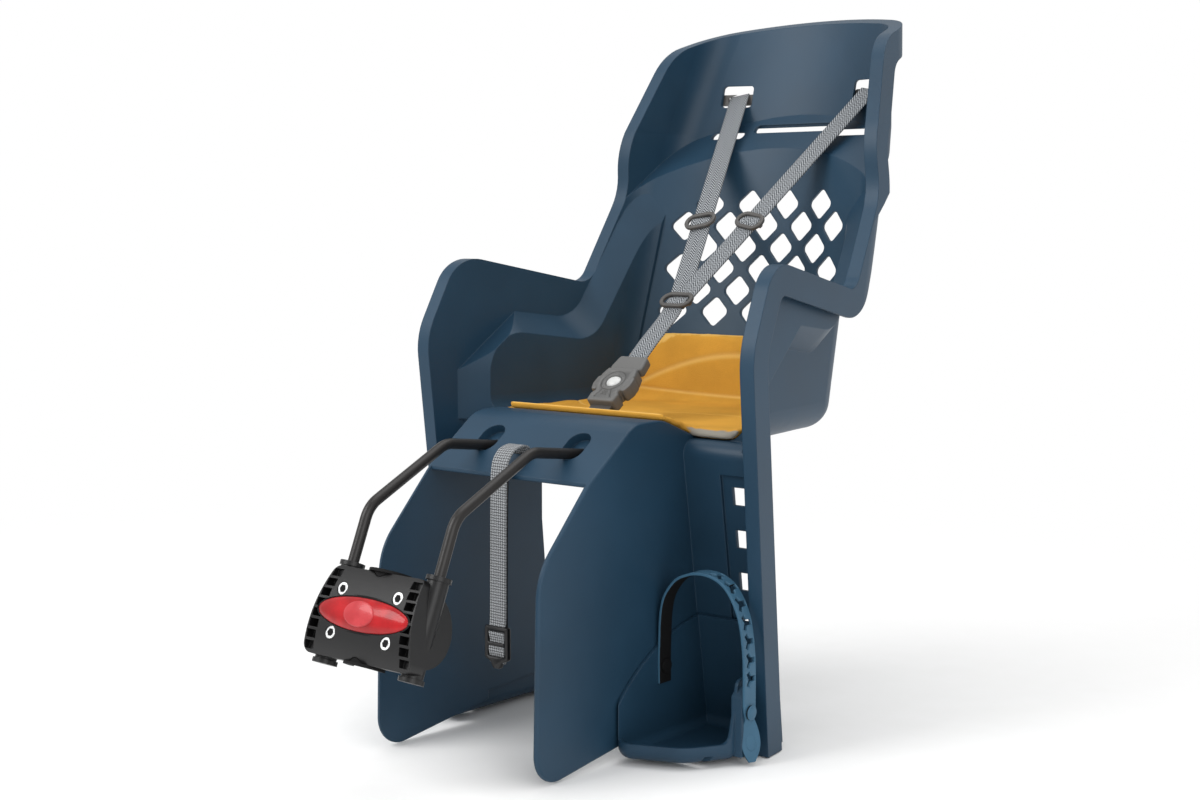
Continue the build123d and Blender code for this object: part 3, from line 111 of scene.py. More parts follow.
def tint(colour: Colour, factor: float) -> List[float]:
    """Colour made lighter or darker by a factor."""
    return [min(1.0, channel * factor) for channel in colour]


def seat_point(x: float, y: float, z: float) -> Vector:
    """Point in the frame, from millimetres read from the seat's datum."""
    return SEAT_DATUM + Vector((x, y, z)) * MM


def block_point(x: float, forward: float, up: float) -> Vector:
    """Point in the frame, from millimetres across, forward of and up the seat tube."""
    sine, cosine = math.sin(TUBE_TILT), math.cos(TUBE_TILT)
    return Vector((x, up * sine - forward * cosine, up * cosine + forward * sine)) * MM


def place(origin: Vector, across: Vector, along: Vector) -> Matrix:
    """Frame on a surface.

    Args:
        origin: Its origin.
        across: Its x direction, roughly.
        along: Its y direction, kept exactly.

    Returns:
        A matrix whose z direction stands on the surface.
    """
    y_dir = along.normalized()
    x_dir = (across - y_dir * across.dot(y_dir)).normalized()
    z_dir = x_dir.cross(y_dir)
    return Matrix.Translation(origin) @ Matrix((x_dir, y_dir, z_dir)).transposed().to_4x4()


def shifted(where: Matrix, x: float = 0.0, y: float = 0.0, z: float = 0.0) -> Matrix:
    """Frame moved along its own directions, in millimetres."""
    return where @ Matrix.Translation(Vector((x, y, z)) * MM)


def add_object(name: str, data: Any) -> Piece:
    """New object in the scene, at the origin."""
    made = bpy.data.objects.new(name, data)
    bpy.context.scene.collection.objects.link(made)
    return made


def rounded(outline: Pairs, radius: float, steps: int = 5) -> List[Vector]:
    """Outline with its corners rounded.

    Args:
        outline: Corners in millimetres, in order.
        radius: About the radius of the corners.
        steps: Steps round each corner.

    Returns:
        Points of the rounded outline.
    """
    points = [Vector(corner) for corner in outline]
    smooth = []
    for before, corner, after in zip(points[-1:] + points[:-1], points, points[1:] + points[:1]):
        back, ahead = before - corner, after - corner
        angle = max(back.angle(ahead), LEAST_CORNER)
        cut = min(radius / math.tan(angle / 2), MOST_CUT * back.length, MOST_CUT * ahead.length)
        start, end = corner + back.normalized() * cut, corner + ahead.normalized() * cut
        for step in range(steps + 1):
            share = step / steps
            smooth.append(start.lerp(corner, share).lerp(corner.lerp(end, share), share))
    return smooth


def mirrored(half: Pairs) -> List[Pair]:
    """Closed outline from the points of its right half, from the bottom up."""
    (x, y), *rest = half
    return [(-x, y), *half, *((-x, y) for x, y in reversed(rest))]


def oval(half_x: float, half_y: float, steps: int = 48) -> List[Vector]:
    """Oval outline in millimetres."""
    turns = [2 * math.pi * step / steps for step in range(steps)]
    return [Vector((half_x * math.cos(turn), half_y * math.sin(turn))) for turn in turns]


def carve(piece: Piece, *cutters: Piece) -> None:
    """Cuts objects out of another, one after the other, and removes the cutters."""
    for cutter in cutters:
        cut = piece.modifiers.new("cut", "BOOLEAN")
        cut.operation, cut.solver, cut.object = "DIFFERENCE", "EXACT", cutter
        settle(piece)
        bpy.data.objects.remove(cutter, do_unlink=True)
    if not piece.data.polygons:
        raise RuntimeError(f"nothing is left of {piece.name}")


def settle(piece: Piece) -> None:
    """Applies every modifier of an object."""
    graph = bpy.context.evaluated_depsgraph_get()
    mesh = bpy.data.meshes.new_from_object(piece.evaluated_get(graph), depsgraph=graph)
    piece.modifiers.clear()
    piece.data = mesh


def operation(name: str, swapped: bool = False) -> Callable[..., "Socket"]:
    """Method of a socket that adds a Math node.

    Args:
        name: The node's operation.
        swapped: Whether the other value comes first.

    Returns:
        The method.
    """
    def method(self: "Socket", *others: Input) -> "Socket":
        """Math node on this value and others."""
        values = (*others, self) if swapped else (self, *others)
        return self.shader.node("ShaderNodeMath", {"operation": name}, dict(enumerate(values)))

    return method


class Socket:
    """A node's output whose arithmetic adds Math nodes."""

    def __init__(self, shader: "Shader", out: bpy.types.NodeSocket) -> None:
        """Keeps the output and the shader it belongs to."""
        self.shader = shader
        self.out = out

    __add__ = __radd__ = operation("ADD")
    __mul__ = __rmul__ = operation("MULTIPLY")
    __sub__ = operation("SUBTRACT")
    __rsub__ = operation("SUBTRACT", swapped=True)
    __truediv__ = operation("DIVIDE")
    __mod__ = operation("FLOORED_MODULO")
    __abs__ = operation("ABSOLUTE")
    maximum = operation("MAXIMUM")
    sine = operation("SINE")
    floor = operation("FLOOR")

    def ramp(self, low: float, high: float) -> "Socket":
        """Smooth step from 0 at low to 1 at high."""
        return self.shader.node(
            "ShaderNodeMapRange", {"interpolation_type": "SMOOTHSTEP"}, {0: self, 1: low, 2: high}
        )


class Shader:
    """Node tree of a material or a world."""

    def __init__(self, owner: Union[Material, bpy.types.World]) -> None:
        """Empties the owner's tree."""
        self.owner = owner
        owner.use_nodes = True
        self.tree = owner.node_tree
        self.tree.nodes.clear()

    def node(
        self, kind: str, settings: Optional[Dict[str, Any]] = None, inputs: Optional[Inputs] = None,
        output: Union[str, int] = 0,
    ) -> Optional[Socket]:
        """Adds a node.

        Args:
            kind: The node's type.
            settings: Its own settings, set first.
            inputs: Values or links of its sockets, by name or number.
            output: The output that is wanted.

        Returns:
            That output, or None for a node that ends the tree.
        """
        made = self.tree.nodes.new(kind)
        for key, value in (settings or {}).items():
            setattr(made, key, value)
        for key, value in (inputs or {}).items():
            self.join(made.inputs[key], value)
        return Socket(self, made.outputs[output]) if made.outputs else None

    def join(self, socket: bpy.types.NodeSocket, value: Input) -> None:
        """Links a socket to an output, or sets its value."""
        if isinstance(value, Socket):
            self.tree.links.new(value.out, socket)
        elif isinstance(value, (int, float)):
            socket.default_value = value
        else:
            values = tuple(value)
            socket.default_value = values + (1.0,) if len(socket.default_value) > len(values) else values

    def position(self) -> Socket:
        """Object coordinates."""
        return self.node("ShaderNodeTexCoord", output="Object")

    def noise(self, scale: float, detail: float) -> Socket:
        """Noise of so many waves to the metre, from 0 to 1."""
        inputs = {"Vector": self.position(), "Scale": scale, "Detail": detail}
        return self.node("ShaderNodeTexNoise", None, inputs)

    def mix(self, factor: Input, first: Input, second: Input) -> Socket:
        """Mix of two colours."""
        return self.node("ShaderNodeMix", {"data_type": "RGBA"}, {0: factor, 6: first, 7: second}, 2)

    def bump(self, height: Socket, depth: float, normal: Optional[Socket] = None) -> Socket:
        """Bump of a height in units of a depth in metres."""
        inputs: Inputs = {"Height": height, "Distance": depth, "Strength": 1.0}
        if normal is not None:
            inputs["Normal"] = normal
        return self.node("ShaderNodeBump", None, inputs)

    def soft_edges(self, radius: float) -> Socket:
        """Normal that rounds sharp edges."""
        return self.node("ShaderNodeBevel", {"samples": 4}, {"Radius": radius})

    def edge_mask(self, soft: Socket) -> Socket:
        """1 on sharp edges and 0 on open faces."""
        true_normal = self.node("ShaderNodeNewGeometry", output="True Normal")
        match = self.node(
            "ShaderNodeVectorMath", {"operation": "DOT_PRODUCT"}, {0: soft, 1: true_normal}, "Value"
        )
        return (1.0 - match).ramp(0.02, 0.3)

    def surface(self, **values: Input) -> None:
        """Ends the tree with the base shader, its sockets named with underscores."""
        inputs = {name.replace("_", " "): value for name, value in values.items()}
        shader = self.node("ShaderNodeBsdfPrincipled", None, inputs)
        self.node("ShaderNodeOutputMaterial", None, {"Surface": shader})


@dataclass(frozen=True)
class Plastic:
    """Moulded plastic or rubber: fine grain, slow changes of tone and a painted highlight on sharp edges."""

    name: str
    colour: Colour
    roughness: float = 0.42
    grain_depth: float = 0.00006
    grain_scale: float = 1500.0
    edge_radius: float = 0.0012
    edge_highlight: float = 1.25
    mottle: float = 0.10
    gloss: float = 0.5

    def paint(self, shader: Shader) -> None:
        """Draws the finish."""
        grain = shader.noise(self.grain_scale, 3.0)
        clouds = shader.noise(9.0, 3.0)
        soft = shader.soft_edges(self.edge_radius)
        edge = shader.edge_mask(soft)
        dark, light = tint(self.colour, 1 - self.mottle), tint(self.colour, 1 + self.mottle)
        tone = shader.mix(clouds.ramp(0.3, 0.7), dark, light)
        # painted highlight: sharp edges are lightened by edge_highlight, standing in for light caught on the
        # rounded edges
        tone = shader.mix(edge * 0.6, tone, [min(1.0, c * self.edge_highlight + 0.004) for c in self.colour])
        rough = self.roughness + (grain - 0.5) * 0.12 + (clouds - 0.5) * 0.08
        shader.surface(
            Base_Color=tone, Roughness=rough, Normal=shader.bump(grain, self.grain_depth, soft),
            Specular_IOR_Level=self.gloss,
        )


@dataclass(frozen=True)
class Metal:
    """Plated or coated metal with fine scratches."""

    name: str
    colour: Colour
    roughness: float
    metallic: float = 1.0
    edge_radius: float = 0.0004
    scratch_depth: float = 0.00001

    def paint(self, shader: Shader) -> None:
        """Draws the finish."""
        scratches = shader.noise(900.0, 4.0)
        clouds = shader.noise(40.0, 2.0)
        soft = shader.soft_edges(self.edge_radius)
        tone = shader.mix(clouds, tint(self.colour, 0.93), tint(self.colour, 1.05))
        rough = self.roughness + (scratches - 0.5) * 0.08
        shader.surface(
            Base_Color=tone, Roughness=rough, Metallic=self.metallic,
            Normal=shader.bump(scratches, self.scratch_depth, soft),
        )


@dataclass(frozen=True)
class Webbing:
    """Woven strap, drawn on a UV map in metres across and along it."""

    name: str
    thread: Colour
    hollow_shade: Colour
    weave: Weave
    width: float
    pitch: float = 0.0022
    column: float = 0.0030

    def paint(self, shader: Shader) -> None:
        """Draws the finish."""
        uv = shader.node("ShaderNodeUVMap", {"uv_map": "weave"})
        across = shader.node("ShaderNodeSeparateXYZ", None, {0: uv}, "X")
        along = shader.node("ShaderNodeSeparateXYZ", None, {0: uv}, "Y")
        if self.weave is Weave.HERRINGBONE:
            place_in = (across / self.column) % 2.0
            slant = abs(place_in - 1.0) * self.column
            thread = ((along + slant * 1.4) / self.pitch * (2 * math.pi)).sine() * 0.5 + 0.5
            spine = abs((across / self.column) % 1.0 - 0.5).ramp(0.34, 0.44)
            height = thread * (1.0 - spine * 0.55) + spine * thread.ramp(0.45, 0.6) * 0.55
        else:
            over = (across / self.pitch).floor() + (along / self.pitch).floor()
            turn = (over % 2.0).ramp(0.4, 0.6)
            warp = (across / self.pitch * math.pi).sine()
            weft = (along / self.pitch * math.pi).sine()
            height = abs(warp) * turn + abs(weft) * (1.0 - turn)
        selvedge = abs(across / self.width - 0.5).ramp(0.44, 0.47)
        fuzz = shader.noise(2500.0, 3.0)
        # painted shade: the low parts of the weave take the hollow_shade colour, standing in for shade
        # between the threads
        tone = shader.mix(height.ramp(0.3, 0.85), self.hollow_shade, self.thread)
        # the strap's edges are darkened towards the same colour
        tone = shader.mix(selvedge * 0.35, tone, self.hollow_shade)
        tone = shader.mix(fuzz.ramp(0.35, 0.8) * 0.15, tone, tint(self.thread, 1.2))
        shader.surface(
            Base_Color=tone, Roughness=0.72 - height * 0.12,
            Normal=shader.bump(height + fuzz * 0.3, 0.00035), Specular_IOR_Level=0.25,
        )


@dataclass(frozen=True)
class Felt:
    """Pressed felt pad with short fibres."""

    name: str
    colour: Colour
    line: Colour
    binding: Colour

    def paint(self, shader: Shader) -> None:
        """Draws the finish: the embossed lines and the binding are attributes of the pad's points."""
        fibre = shader.noise(1300.0, 4.0)
        clouds = shader.noise(26.0, 4.0)
        pressed = shader.node("ShaderNodeAttribute", {"attribute_name": "pressed"}, output="Fac")
        tone = shader.mix(clouds.ramp(0.25, 0.75), tint(self.colour, 0.90), tint(self.colour, 1.08))
        tone = shader.mix(fibre.ramp(0.45, 0.75) * 0.35, tone, tint(self.colour, 0.72))
        bound = shader.node("ShaderNodeAttribute", {"attribute_name": "bound"}, output="Fac")
        tone = shader.mix(pressed * 0.75, tone, self.line)
        tone = shader.mix(bound, tone, self.binding)
        shader.surface(
            Base_Color=tone, Roughness=0.86 + (fibre - 0.5) * 0.15,
            Normal=shader.bump(fibre, 0.0005), Specular_IOR_Level=0.15,
        )


@dataclass(frozen=True)
class Lens:
    """Glossy coloured reflector plastic."""

    name: str
    colour: Colour
    deep: Colour

    def paint(self, shader: Shader) -> None:
        """Draws the finish."""
        clouds = shader.noise(60.0, 2.0)
        prisms = shader.node(
            "ShaderNodeTexVoronoi", None, {"Vector": shader.position(), "Scale": 420.0}
        )
        tone = shader.mix(clouds.ramp(0.3, 0.7), self.deep, self.colour)
        tone = shader.mix(prisms.ramp(0.2, 0.6) * 0.18, tone, tint(self.colour, 0.7))
        shader.surface(
            Base_Color=tone, Roughness=0.16 + clouds * 0.06, Coat_Weight=0.15, Coat_Roughness=0.05,
            Specular_IOR_Level=0.25, Normal=shader.soft_edges(0.0008),
        )


@dataclass(frozen=True)
class Plate:
    """Flat solid: its outline, thickness and the radius of its edges, in millimetres."""

    outline: Sequence[Vector]
    thickness: float
    edge: float = 0.0


@dataclass(frozen=True)
class Dome:
    """Half an ellipsoid: the half sizes of its foot and its height, in millimetres."""

    half: Pair
    rise: float


@dataclass(frozen=True)
class Ring:
    """Oval ring: half sizes of its ends, thickness, edges and half its straight sides, in millimetres."""

    outer: Pair
    inner: Pair
    thickness: float
    edge: float = 0.0
    straight: float = 0.0


class Workpiece:
    """A mesh in the making, in metres, with its place in the frame."""

    def __init__(self) -> None:
        """Starts an empty mesh with a map for weaves."""
        self.bm = bmesh.new()
        self.uv = self.bm.loops.layers.uv.new("weave")

    def rounded_box(self, where: Matrix, size: Sequence[float], radius: float) -> None:
        """Box with rounded edges.

        Args:
            where: Frame at its centre.
            size: Its three sizes in millimetres.
            radius: Radius of its edges in millimetres.
        """
        sizes = Matrix.Diagonal((*(s * MM for s in size), 1.0))
        made = bmesh.ops.create_cube(self.bm, size=1.0, matrix=where @ sizes)
        self.bevel({edge for vert in made["verts"] for edge in vert.link_edges}, radius)

    def bevel(self, edges: Any, radius: float, segments: int = 3) -> None:
        """Rounds edges to a radius in millimetres."""
        bmesh.ops.bevel(
            self.bm, geom=list(edges), offset=radius * MM, offset_type="OFFSET", segments=segments,
            profile=0.5, affect="EDGES", clamp_overlap=True, material=-1,
        )

    def round_rims(self, edges: Any, radius: float, segments: int = 3) -> None:
        """Rounds those edges that are sharp, unless the radius is 0."""
        if radius:
            rims = [link for link in edges if link.is_manifold and link.calc_face_angle(0.0) > SHARP_ANGLE]
            self.bevel(rims, radius, segments)

    def rise(self, faces: List[bmesh.types.BMFace], where: Matrix, thickness: float) -> None:
        """Extrudes faces into a closed solid.

        Args:
            faces: The faces, which become the solid's underside.
            where: Frame on the underside.
            thickness: How far the copy moves, in millimetres.
        """
        grown = bmesh.ops.extrude_face_region(self.bm, geom=faces, use_keep_orig=True)["geom"]
        verts = [item for item in grown if isinstance(item, bmesh.types.BMVert)]
        bmesh.ops.translate(self.bm, verts=verts, vec=where.to_3x3() @ (UP * (thickness * MM)))
        bmesh.ops.recalc_face_normals(self.bm, faces=self.bm.faces[:])

    def plate(self, where: Matrix, plate: Plate) -> None:
        """Adds a plate.

        Args:
            where: Frame on its underside.
            plate: Its sizes.
        """
        before = set(self.bm.edges)
        verts = [self.bm.verts.new(where @ (Vector((x, y, 0.0)) * MM)) for x, y in plate.outline]
        self.rise([self.bm.faces.new(verts)], where, plate.thickness)
        self.round_rims([link for link in self.bm.edges if link not in before], plate.edge)

    def dome(self, where: Matrix, dome: Dome) -> None:
        """Adds a dome with a flat underside.

        Args:
            where: Frame on its underside.
            dome: Its sizes.
        """
        sizes = Matrix.Diagonal((*(size * MM for size in (*dome.half, dome.rise)), 1.0))
        made = bmesh.ops.create_uvsphere(
            self.bm, u_segments=64, v_segments=32, radius=1.0, matrix=where @ sizes
        )["verts"]
        geom = {item for vert in made for item in (vert, *vert.link_edges, *vert.link_faces)}
        cut = bmesh.ops.bisect_plane(
            self.bm, geom=list(geom), dist=1e-7, plane_co=where.translation, plane_no=where.to_3x3() @ UP,
            clear_inner=True,
        )["geom_cut"]
        bmesh.ops.contextual_create(
            self.bm, geom=[item for item in cut if isinstance(item, bmesh.types.BMEdge)]
        )

    def ring(self, where: Matrix, ring: Ring) -> None:
        """Adds a ring.

        Args:
            where: Frame on its underside.
            ring: Its sizes.
        """
        loops = []
        for half in (ring.outer, ring.inner):
            made = bmesh.ops.create_circle(self.bm, cap_ends=False, segments=48, radius=1.0)["verts"]
            for vert in made:
                x, y = vert.co.x * half[0], vert.co.y * half[1]
                x += math.copysign(ring.straight, x) if abs(vert.co.x) > 1e-5 else 0.0
                vert.co = where @ (Vector((x, y, 0.0)) * MM)
            loops.append({link for vert in made for link in vert.link_edges})
        bridged = bmesh.ops.bridge_loops(self.bm, edges=list(loops[0] | loops[1]))["faces"]
        self.rise(bridged, where, ring.thickness)
        self.round_rims(self.bm.edges, ring.edge)

    def ribbon(
        self, path: Sequence[Vector], across: Union[Vector, Callable[[float], Vector]],
        width: Union[float, Callable[[float], float]], thickness: float, rows: int = 160, columns: int = 8,
    ) -> None:
        """Flat strap along a path, with its map in metres.

        Args:
            path: Points that the middle of the strap follows, in metres.
            across: Direction across it, or a function that gives it at a share of its length.
            width: Width in millimetres, or a function that gives it at a share of its length.
            thickness: Thickness in millimetres.
            rows: Steps along it.
            columns: Steps across it.
        """
        route = Route(path)
        wide = width if callable(width) else lambda share: width
        grid = bmesh.ops.create_grid(self.bm, x_segments=columns, y_segments=rows, size=1.0, calc_uvs=True)
        made = grid["verts"]
        faces = {face for vert in made for face in vert.link_faces}
        shares = {vert: ((vert.co.x + 1) / 2, (vert.co.y + 1) / 2) for vert in made}
        for face in faces:
            for loop in face.loops:
                u, v = shares[loop.vert]
                loop[self.uv].uv = (u * wide(v) * MM, v * route.length)
        for vert, (u, v) in shares.items():
            point, ahead = route.at(v)
            side = across if isinstance(across, Vector) else across(v)
            side = (side - ahead * side.dot(ahead)).normalized()
            vert.co = point + side * ((u - 0.5) * wide(v) * MM)
        bmesh.ops.recalc_face_normals(self.bm, faces=list(faces))
        lift = {}
        for vert in made:
            vert.normal_update()
            lift[vert] = vert.normal * (thickness * MM / 2)
        for vert, way in lift.items():
            vert.co += way
        bmesh.ops.solidify(self.bm, geom=list(faces), thickness=thickness * MM)
        self.round_rims(self.bm.edges, thickness * 0.4, 2)

    def finish(self, name: str, material: Material, angle: float = 35.0) -> Piece:
        """Turns the mesh into an object.

        Args:
            name: The piece's name.
            material: Its material.
            angle: Edges sharper than this many degrees stay sharp.

        Returns:
            The object, at the origin.
        """
        bmesh.ops.remove_doubles(self.bm, verts=self.bm.verts[:], dist=1e-6)
        bmesh.ops.recalc_face_normals(self.bm, faces=self.bm.faces[:])
        mesh = bpy.data.meshes.new(name)
        self.bm.to_mesh(mesh)
        self.bm.free()
        mesh.shade_smooth()
        mesh.set_sharp_from_angle(angle=math.radians(angle))
        mesh.materials.append(material)
        return add_object(name, mesh)


class Route:
    """Smooth path through a few points."""

    def __init__(self, points: Sequence[Vector], steps: int = 24) -> None:
        """Samples a smooth curve through the points."""
        ends = [points[0] * 2 - points[1], *points, points[-1] * 2 - points[-2]]
        self.samples: List[Vector] = []
        for before, start, end, after in zip(ends, ends[1:], ends[2:], ends[3:]):
            for step in range(steps):
                self.samples.append(self.between(before, start, end, after, step / steps))
        self.samples.append(points[-1].copy())
        self.marks = [0.0]
        for one, two in zip(self.samples, self.samples[1:]):
            self.marks.append(self.marks[-1] + (two - one).length)
        self.length = self.marks[-1]

    @staticmethod
    def between(before: Vector, start: Vector, end: Vector, after: Vector, share: float) -> Vector:
        """Point of the curve a share of the way from start to end."""
        span, lead, tail = (end - start).length, (start - before).length, (after - end).length
        slope_in = (end - before) * (span / (span + lead))
        slope_out = (after - start) * (span / (span + tail))
        a, b = 2 * share**3 - 3 * share**2 + 1, share**3 - 2 * share**2 + share
        c, d = -2 * share**3 + 3 * share**2, share**3 - share**2
        return start * a + slope_in * b + end * c + slope_out * d

    def at(self, share: float) -> Tuple[Vector, Vector]:
        """Point and direction at a share of the path's length."""
        goal = min(max(share, 0.0), 1.0) * self.length
        passed = (i for i, mark in enumerate(self.marks[1:]) if mark >= goal - 1e-12)
        index = next(passed, len(self.marks) - 2)
        span = self.marks[index + 1] - self.marks[index]
        part = (goal - self.marks[index]) / span if span else 0.0
        ahead = (self.samples[index + 1] - self.samples[index]).normalized()
        return self.samples[index].lerp(self.samples[index + 1], part), ahead


def own(piece: Piece, body: Body, slot: str, *nodes: str) -> None:
    """Gives a new piece its body and the nodes that it stands for."""
    if nodes:
        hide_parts(*nodes)
    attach(piece, body.value)
    log.info("piece %s on %s", piece.name, body.value)


def copy_node(node: str, name: str, material: Material) -> Piece:
    """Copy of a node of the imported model, at the origin.

    Args:
        node: The node.
        name: The copy's name.
        material: Its material.

    Returns:
        The new object.
    """
    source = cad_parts[node]
    mesh = source.data.copy()
    mesh.transform(source.matrix_world)
    mesh.materials.clear()
    mesh.materials.append(material)
    return add_object(name, mesh)


@dataclass
class Finishes:
    """Every finish of the seat, each made once."""

    shell: Plastic = Plastic("navy_plastic", srgb("1f3a4e"), 0.42, edge_radius=0.0016, gloss=0.3)
    # the nylon's large edge_highlight paints a strong highlight along its edges
    nylon: Plastic = Plastic(
        "black_nylon", srgb("121213"), 0.34, edge_radius=0.0008, edge_highlight=2.4, gloss=0.38
    )
    hardware: Plastic = Plastic("dark_grey_plastic", srgb("484644"), 0.44, edge_radius=0.0006)
    buckle: Plastic = Plastic("grey_plastic", srgb("5b5b5a"), 0.48, grain_depth=0.00010, edge_radius=0.0006)
    button: Plastic = Plastic("light_grey_plastic", srgb("c6c7c6"), 0.3, edge_radius=0.0005, edge_highlight=1.05)
    rubber: Plastic = Plastic("blue_grey_rubber", srgb("345a72"), 0.55, edge_radius=0.0005, gloss=0.35)
    liner: Plastic = Plastic("black_rubber", srgb("0e0e0f"), 0.7, edge_radius=0.0006, gloss=0.2)
    groove: Plastic = Plastic("groove_shadow", srgb("262626"), 0.7, edge_radius=0.0002)
    rod: Metal = Metal("coated_rod", srgb("211f1e"), 0.36, metallic=0.25)
    zinc: Metal = Metal("zinc_plate", srgb("b9bcbf"), 0.34)
    bolt: Metal = Metal("bright_bolt", srgb("e9eaea"), 0.32, metallic=0.85)
    brass: Metal = Metal("brass_insert", srgb("b58f4a"), 0.3)
    # the second colour of each webbing is painted shade for the hollows of its weave
    webbing: Webbing = Webbing(
        "harness_webbing", srgb("a2a6aa"), srgb("2d3135"), Weave.HERRINGBONE, 0.0235,
        pitch=0.0036, column=0.0047
    )
    security: Webbing = Webbing(
        "security_webbing", srgb("9b9ea1"), srgb("0f1011"), Weave.BASKET, 0.0196, pitch=0.0026
    )
    felt: Felt = Felt("mustard_felt", srgb("d39b3c"), srgb("e4b968"), srgb("8f8a80"))
    lens: Lens = Lens("red_lens", srgb("b5191f"), srgb("8f1015"))
    # the disc's lighter pink is partly its own colour and partly a painted reflection of the reflector disc
    disc: Lens = Lens("lens_disc", srgb("c24146"), srgb("b23439"))
    made: Dict[str, Material] = field(default_factory=dict)

    def of(self, name: str) -> Material:
        """Material of a finish by its field's name, made on first use."""
        if name not in self.made:
            finish = getattr(self, name)
            self.made[name] = bpy.data.materials.new(finish.name)
            finish.paint(Shader(self.made[name]))
        return self.made[name]


@dataclass
class Assembly:
    """A sub-assembly and the finishes that it draws on."""

    finishes: Finishes

    def of(self, finish: str) -> Material:
        """Material of a finish."""
        return self.finishes.of(finish)

    def add(self, work: Workpiece, name: str, finish: str, body: Body, slot: str, *nodes: str) -> None:
        """Turns a mesh into a piece with its finish, body and the nodes that it stands for."""
        own(work.finish(name, self.of(finish)), body, slot, *nodes)

    def dress(self, finish: str, *nodes: str) -> None:
        """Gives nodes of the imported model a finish."""
        material = self.of(finish)
        for node in nodes:
            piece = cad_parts[node]
            if not piece.material_slots:
                piece.data.materials.append(material)
            for slot in piece.material_slots:
                slot.material = material
            log.info("dressed %s", node)

    def fit_spring(self, node: str, body: Body, joint: str, keep: float) -> None:
        """Copy of a leaf spring in zinc, on the body that it stands on.

        Args:
            node: The spring's node.
            body: The body that it stands on.
            joint: The joint that presses it.
            keep: Share of its height that is left; not used.
        """
        press = Vector(PRESS_WAYS[joint])
        piece = copy_node(node, f"{node}_leaf", self.of("zinc"))
        foot = max((vert.co for vert in piece.data.vertices), key=press.dot).copy()
        own(piece, body, "spring", node)
        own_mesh(piece)


@dataclass
class Shell(Assembly):
    """Moulded shell and the metal under it."""

    sliver_x: Pair = (177.0, 188.5)
    sliver_y: Pair = (105.3, 151.0)
    sliver_z: Pair = (262.0, 282.6)

    def build(self) -> None:
        """Makes the shell and dresses the footrests, the rod and its clamp."""
        self.build_shell()
        self.dress("shell", "footrest_left", "footrest_right")
        self.dress("rod", "carrier_rod")
        self.dress("zinc", "rod_clamp_plate", "clamp_screws")
        self.dress("brass", "clamp_inserts")

    def build_shell(self) -> None:
        """Copies the shell and pushes back into its calf walls the slivers that stand out behind them."""
        shell = copy_node("seat_shell", "moulded_shell", self.of("shell"))
        for vert in shell.data.vertices:
            x, y, z = (vert.co - SEAT_DATUM) / MM
            spans = ((abs(x), self.sliver_x), (y, self.sliver_y), (z, self.sliver_z))
            if all(low < value < high for value, (low, high) in spans):
                vert.co.y = SEAT_DATUM.y + self.sliver_y[0] * MM
        own(shell, Body.SEAT, "shell", "seat_shell")


@dataclass
class Block(Assembly):
    """Clamp block on the seat tube with its release lens."""

    lens: Dome = Dome((53.4, 14.4), 5.6)
    lens_foot: float = 22.6
    disc: Plate = Plate(oval(17.5, 11.0), 6.2, 1.2)
    # socket and the ring round the lens are black pieces of painted shade
    socket: Plate = Plate(oval(3.5, 3.5, 6), 0.35)
    bolt_spots: Pair = (33.0, 19.0)
    bolt_face: float = 21.4
    groove: float = 1.9
    shade_ring_rise: float = 0.8
    shade_ring_sunk: float = 0.6
    spring_left: float = 0.07

    def build(self) -> None:
        """Dresses the block and makes the lens, its disc, and black pieces that paint the shade in the groove
        round the lens and in the bolts' sockets.
        """
        self.dress("nylon", "block_front", "block_rear")
        self.dress("liner", "tube_liner_front", "tube_liner_rear")
        self.dress("bolt", "block_bolts")
        self.dress("zinc", "block_nuts")
        self.fit_spring("release_springs", Body.BLOCK, "release_press", self.spring_left)
        up = block_point(0, 0, 1) - block_point(0, 0, 0)
        where = place(block_point(0, self.lens_foot, 0), RIGHT, up)
        work = Workpiece()
        work.dome(where, self.lens)
        self.add(work, "release_lens", "lens", Body.RELEASE, "lens", "release_button")
        work = Workpiece()
        work.plate(where, self.disc)
        self.add(work, "release_disc", "disc", Body.RELEASE, "lens")
        # painted shade: black hex plates at the bottom of the bolts' sockets and a black ring in the groove
        # round the lens
        work = Workpiece()
        for x in (-self.bolt_spots[0], self.bolt_spots[0]):
            for height in (-self.bolt_spots[1], self.bolt_spots[1]):
                work.plate(place(block_point(x, self.bolt_face, height), RIGHT, up), self.socket)
        outer = (self.lens.half[0] + self.groove, self.lens.half[1] + self.groove)
        work.ring(shifted(where, z=-self.shade_ring_sunk), Ring(outer, self.lens.half, self.shade_ring_rise))
        self.add(work, "socket_and_groove_shade", "liner", Body.BLOCK, "liner")


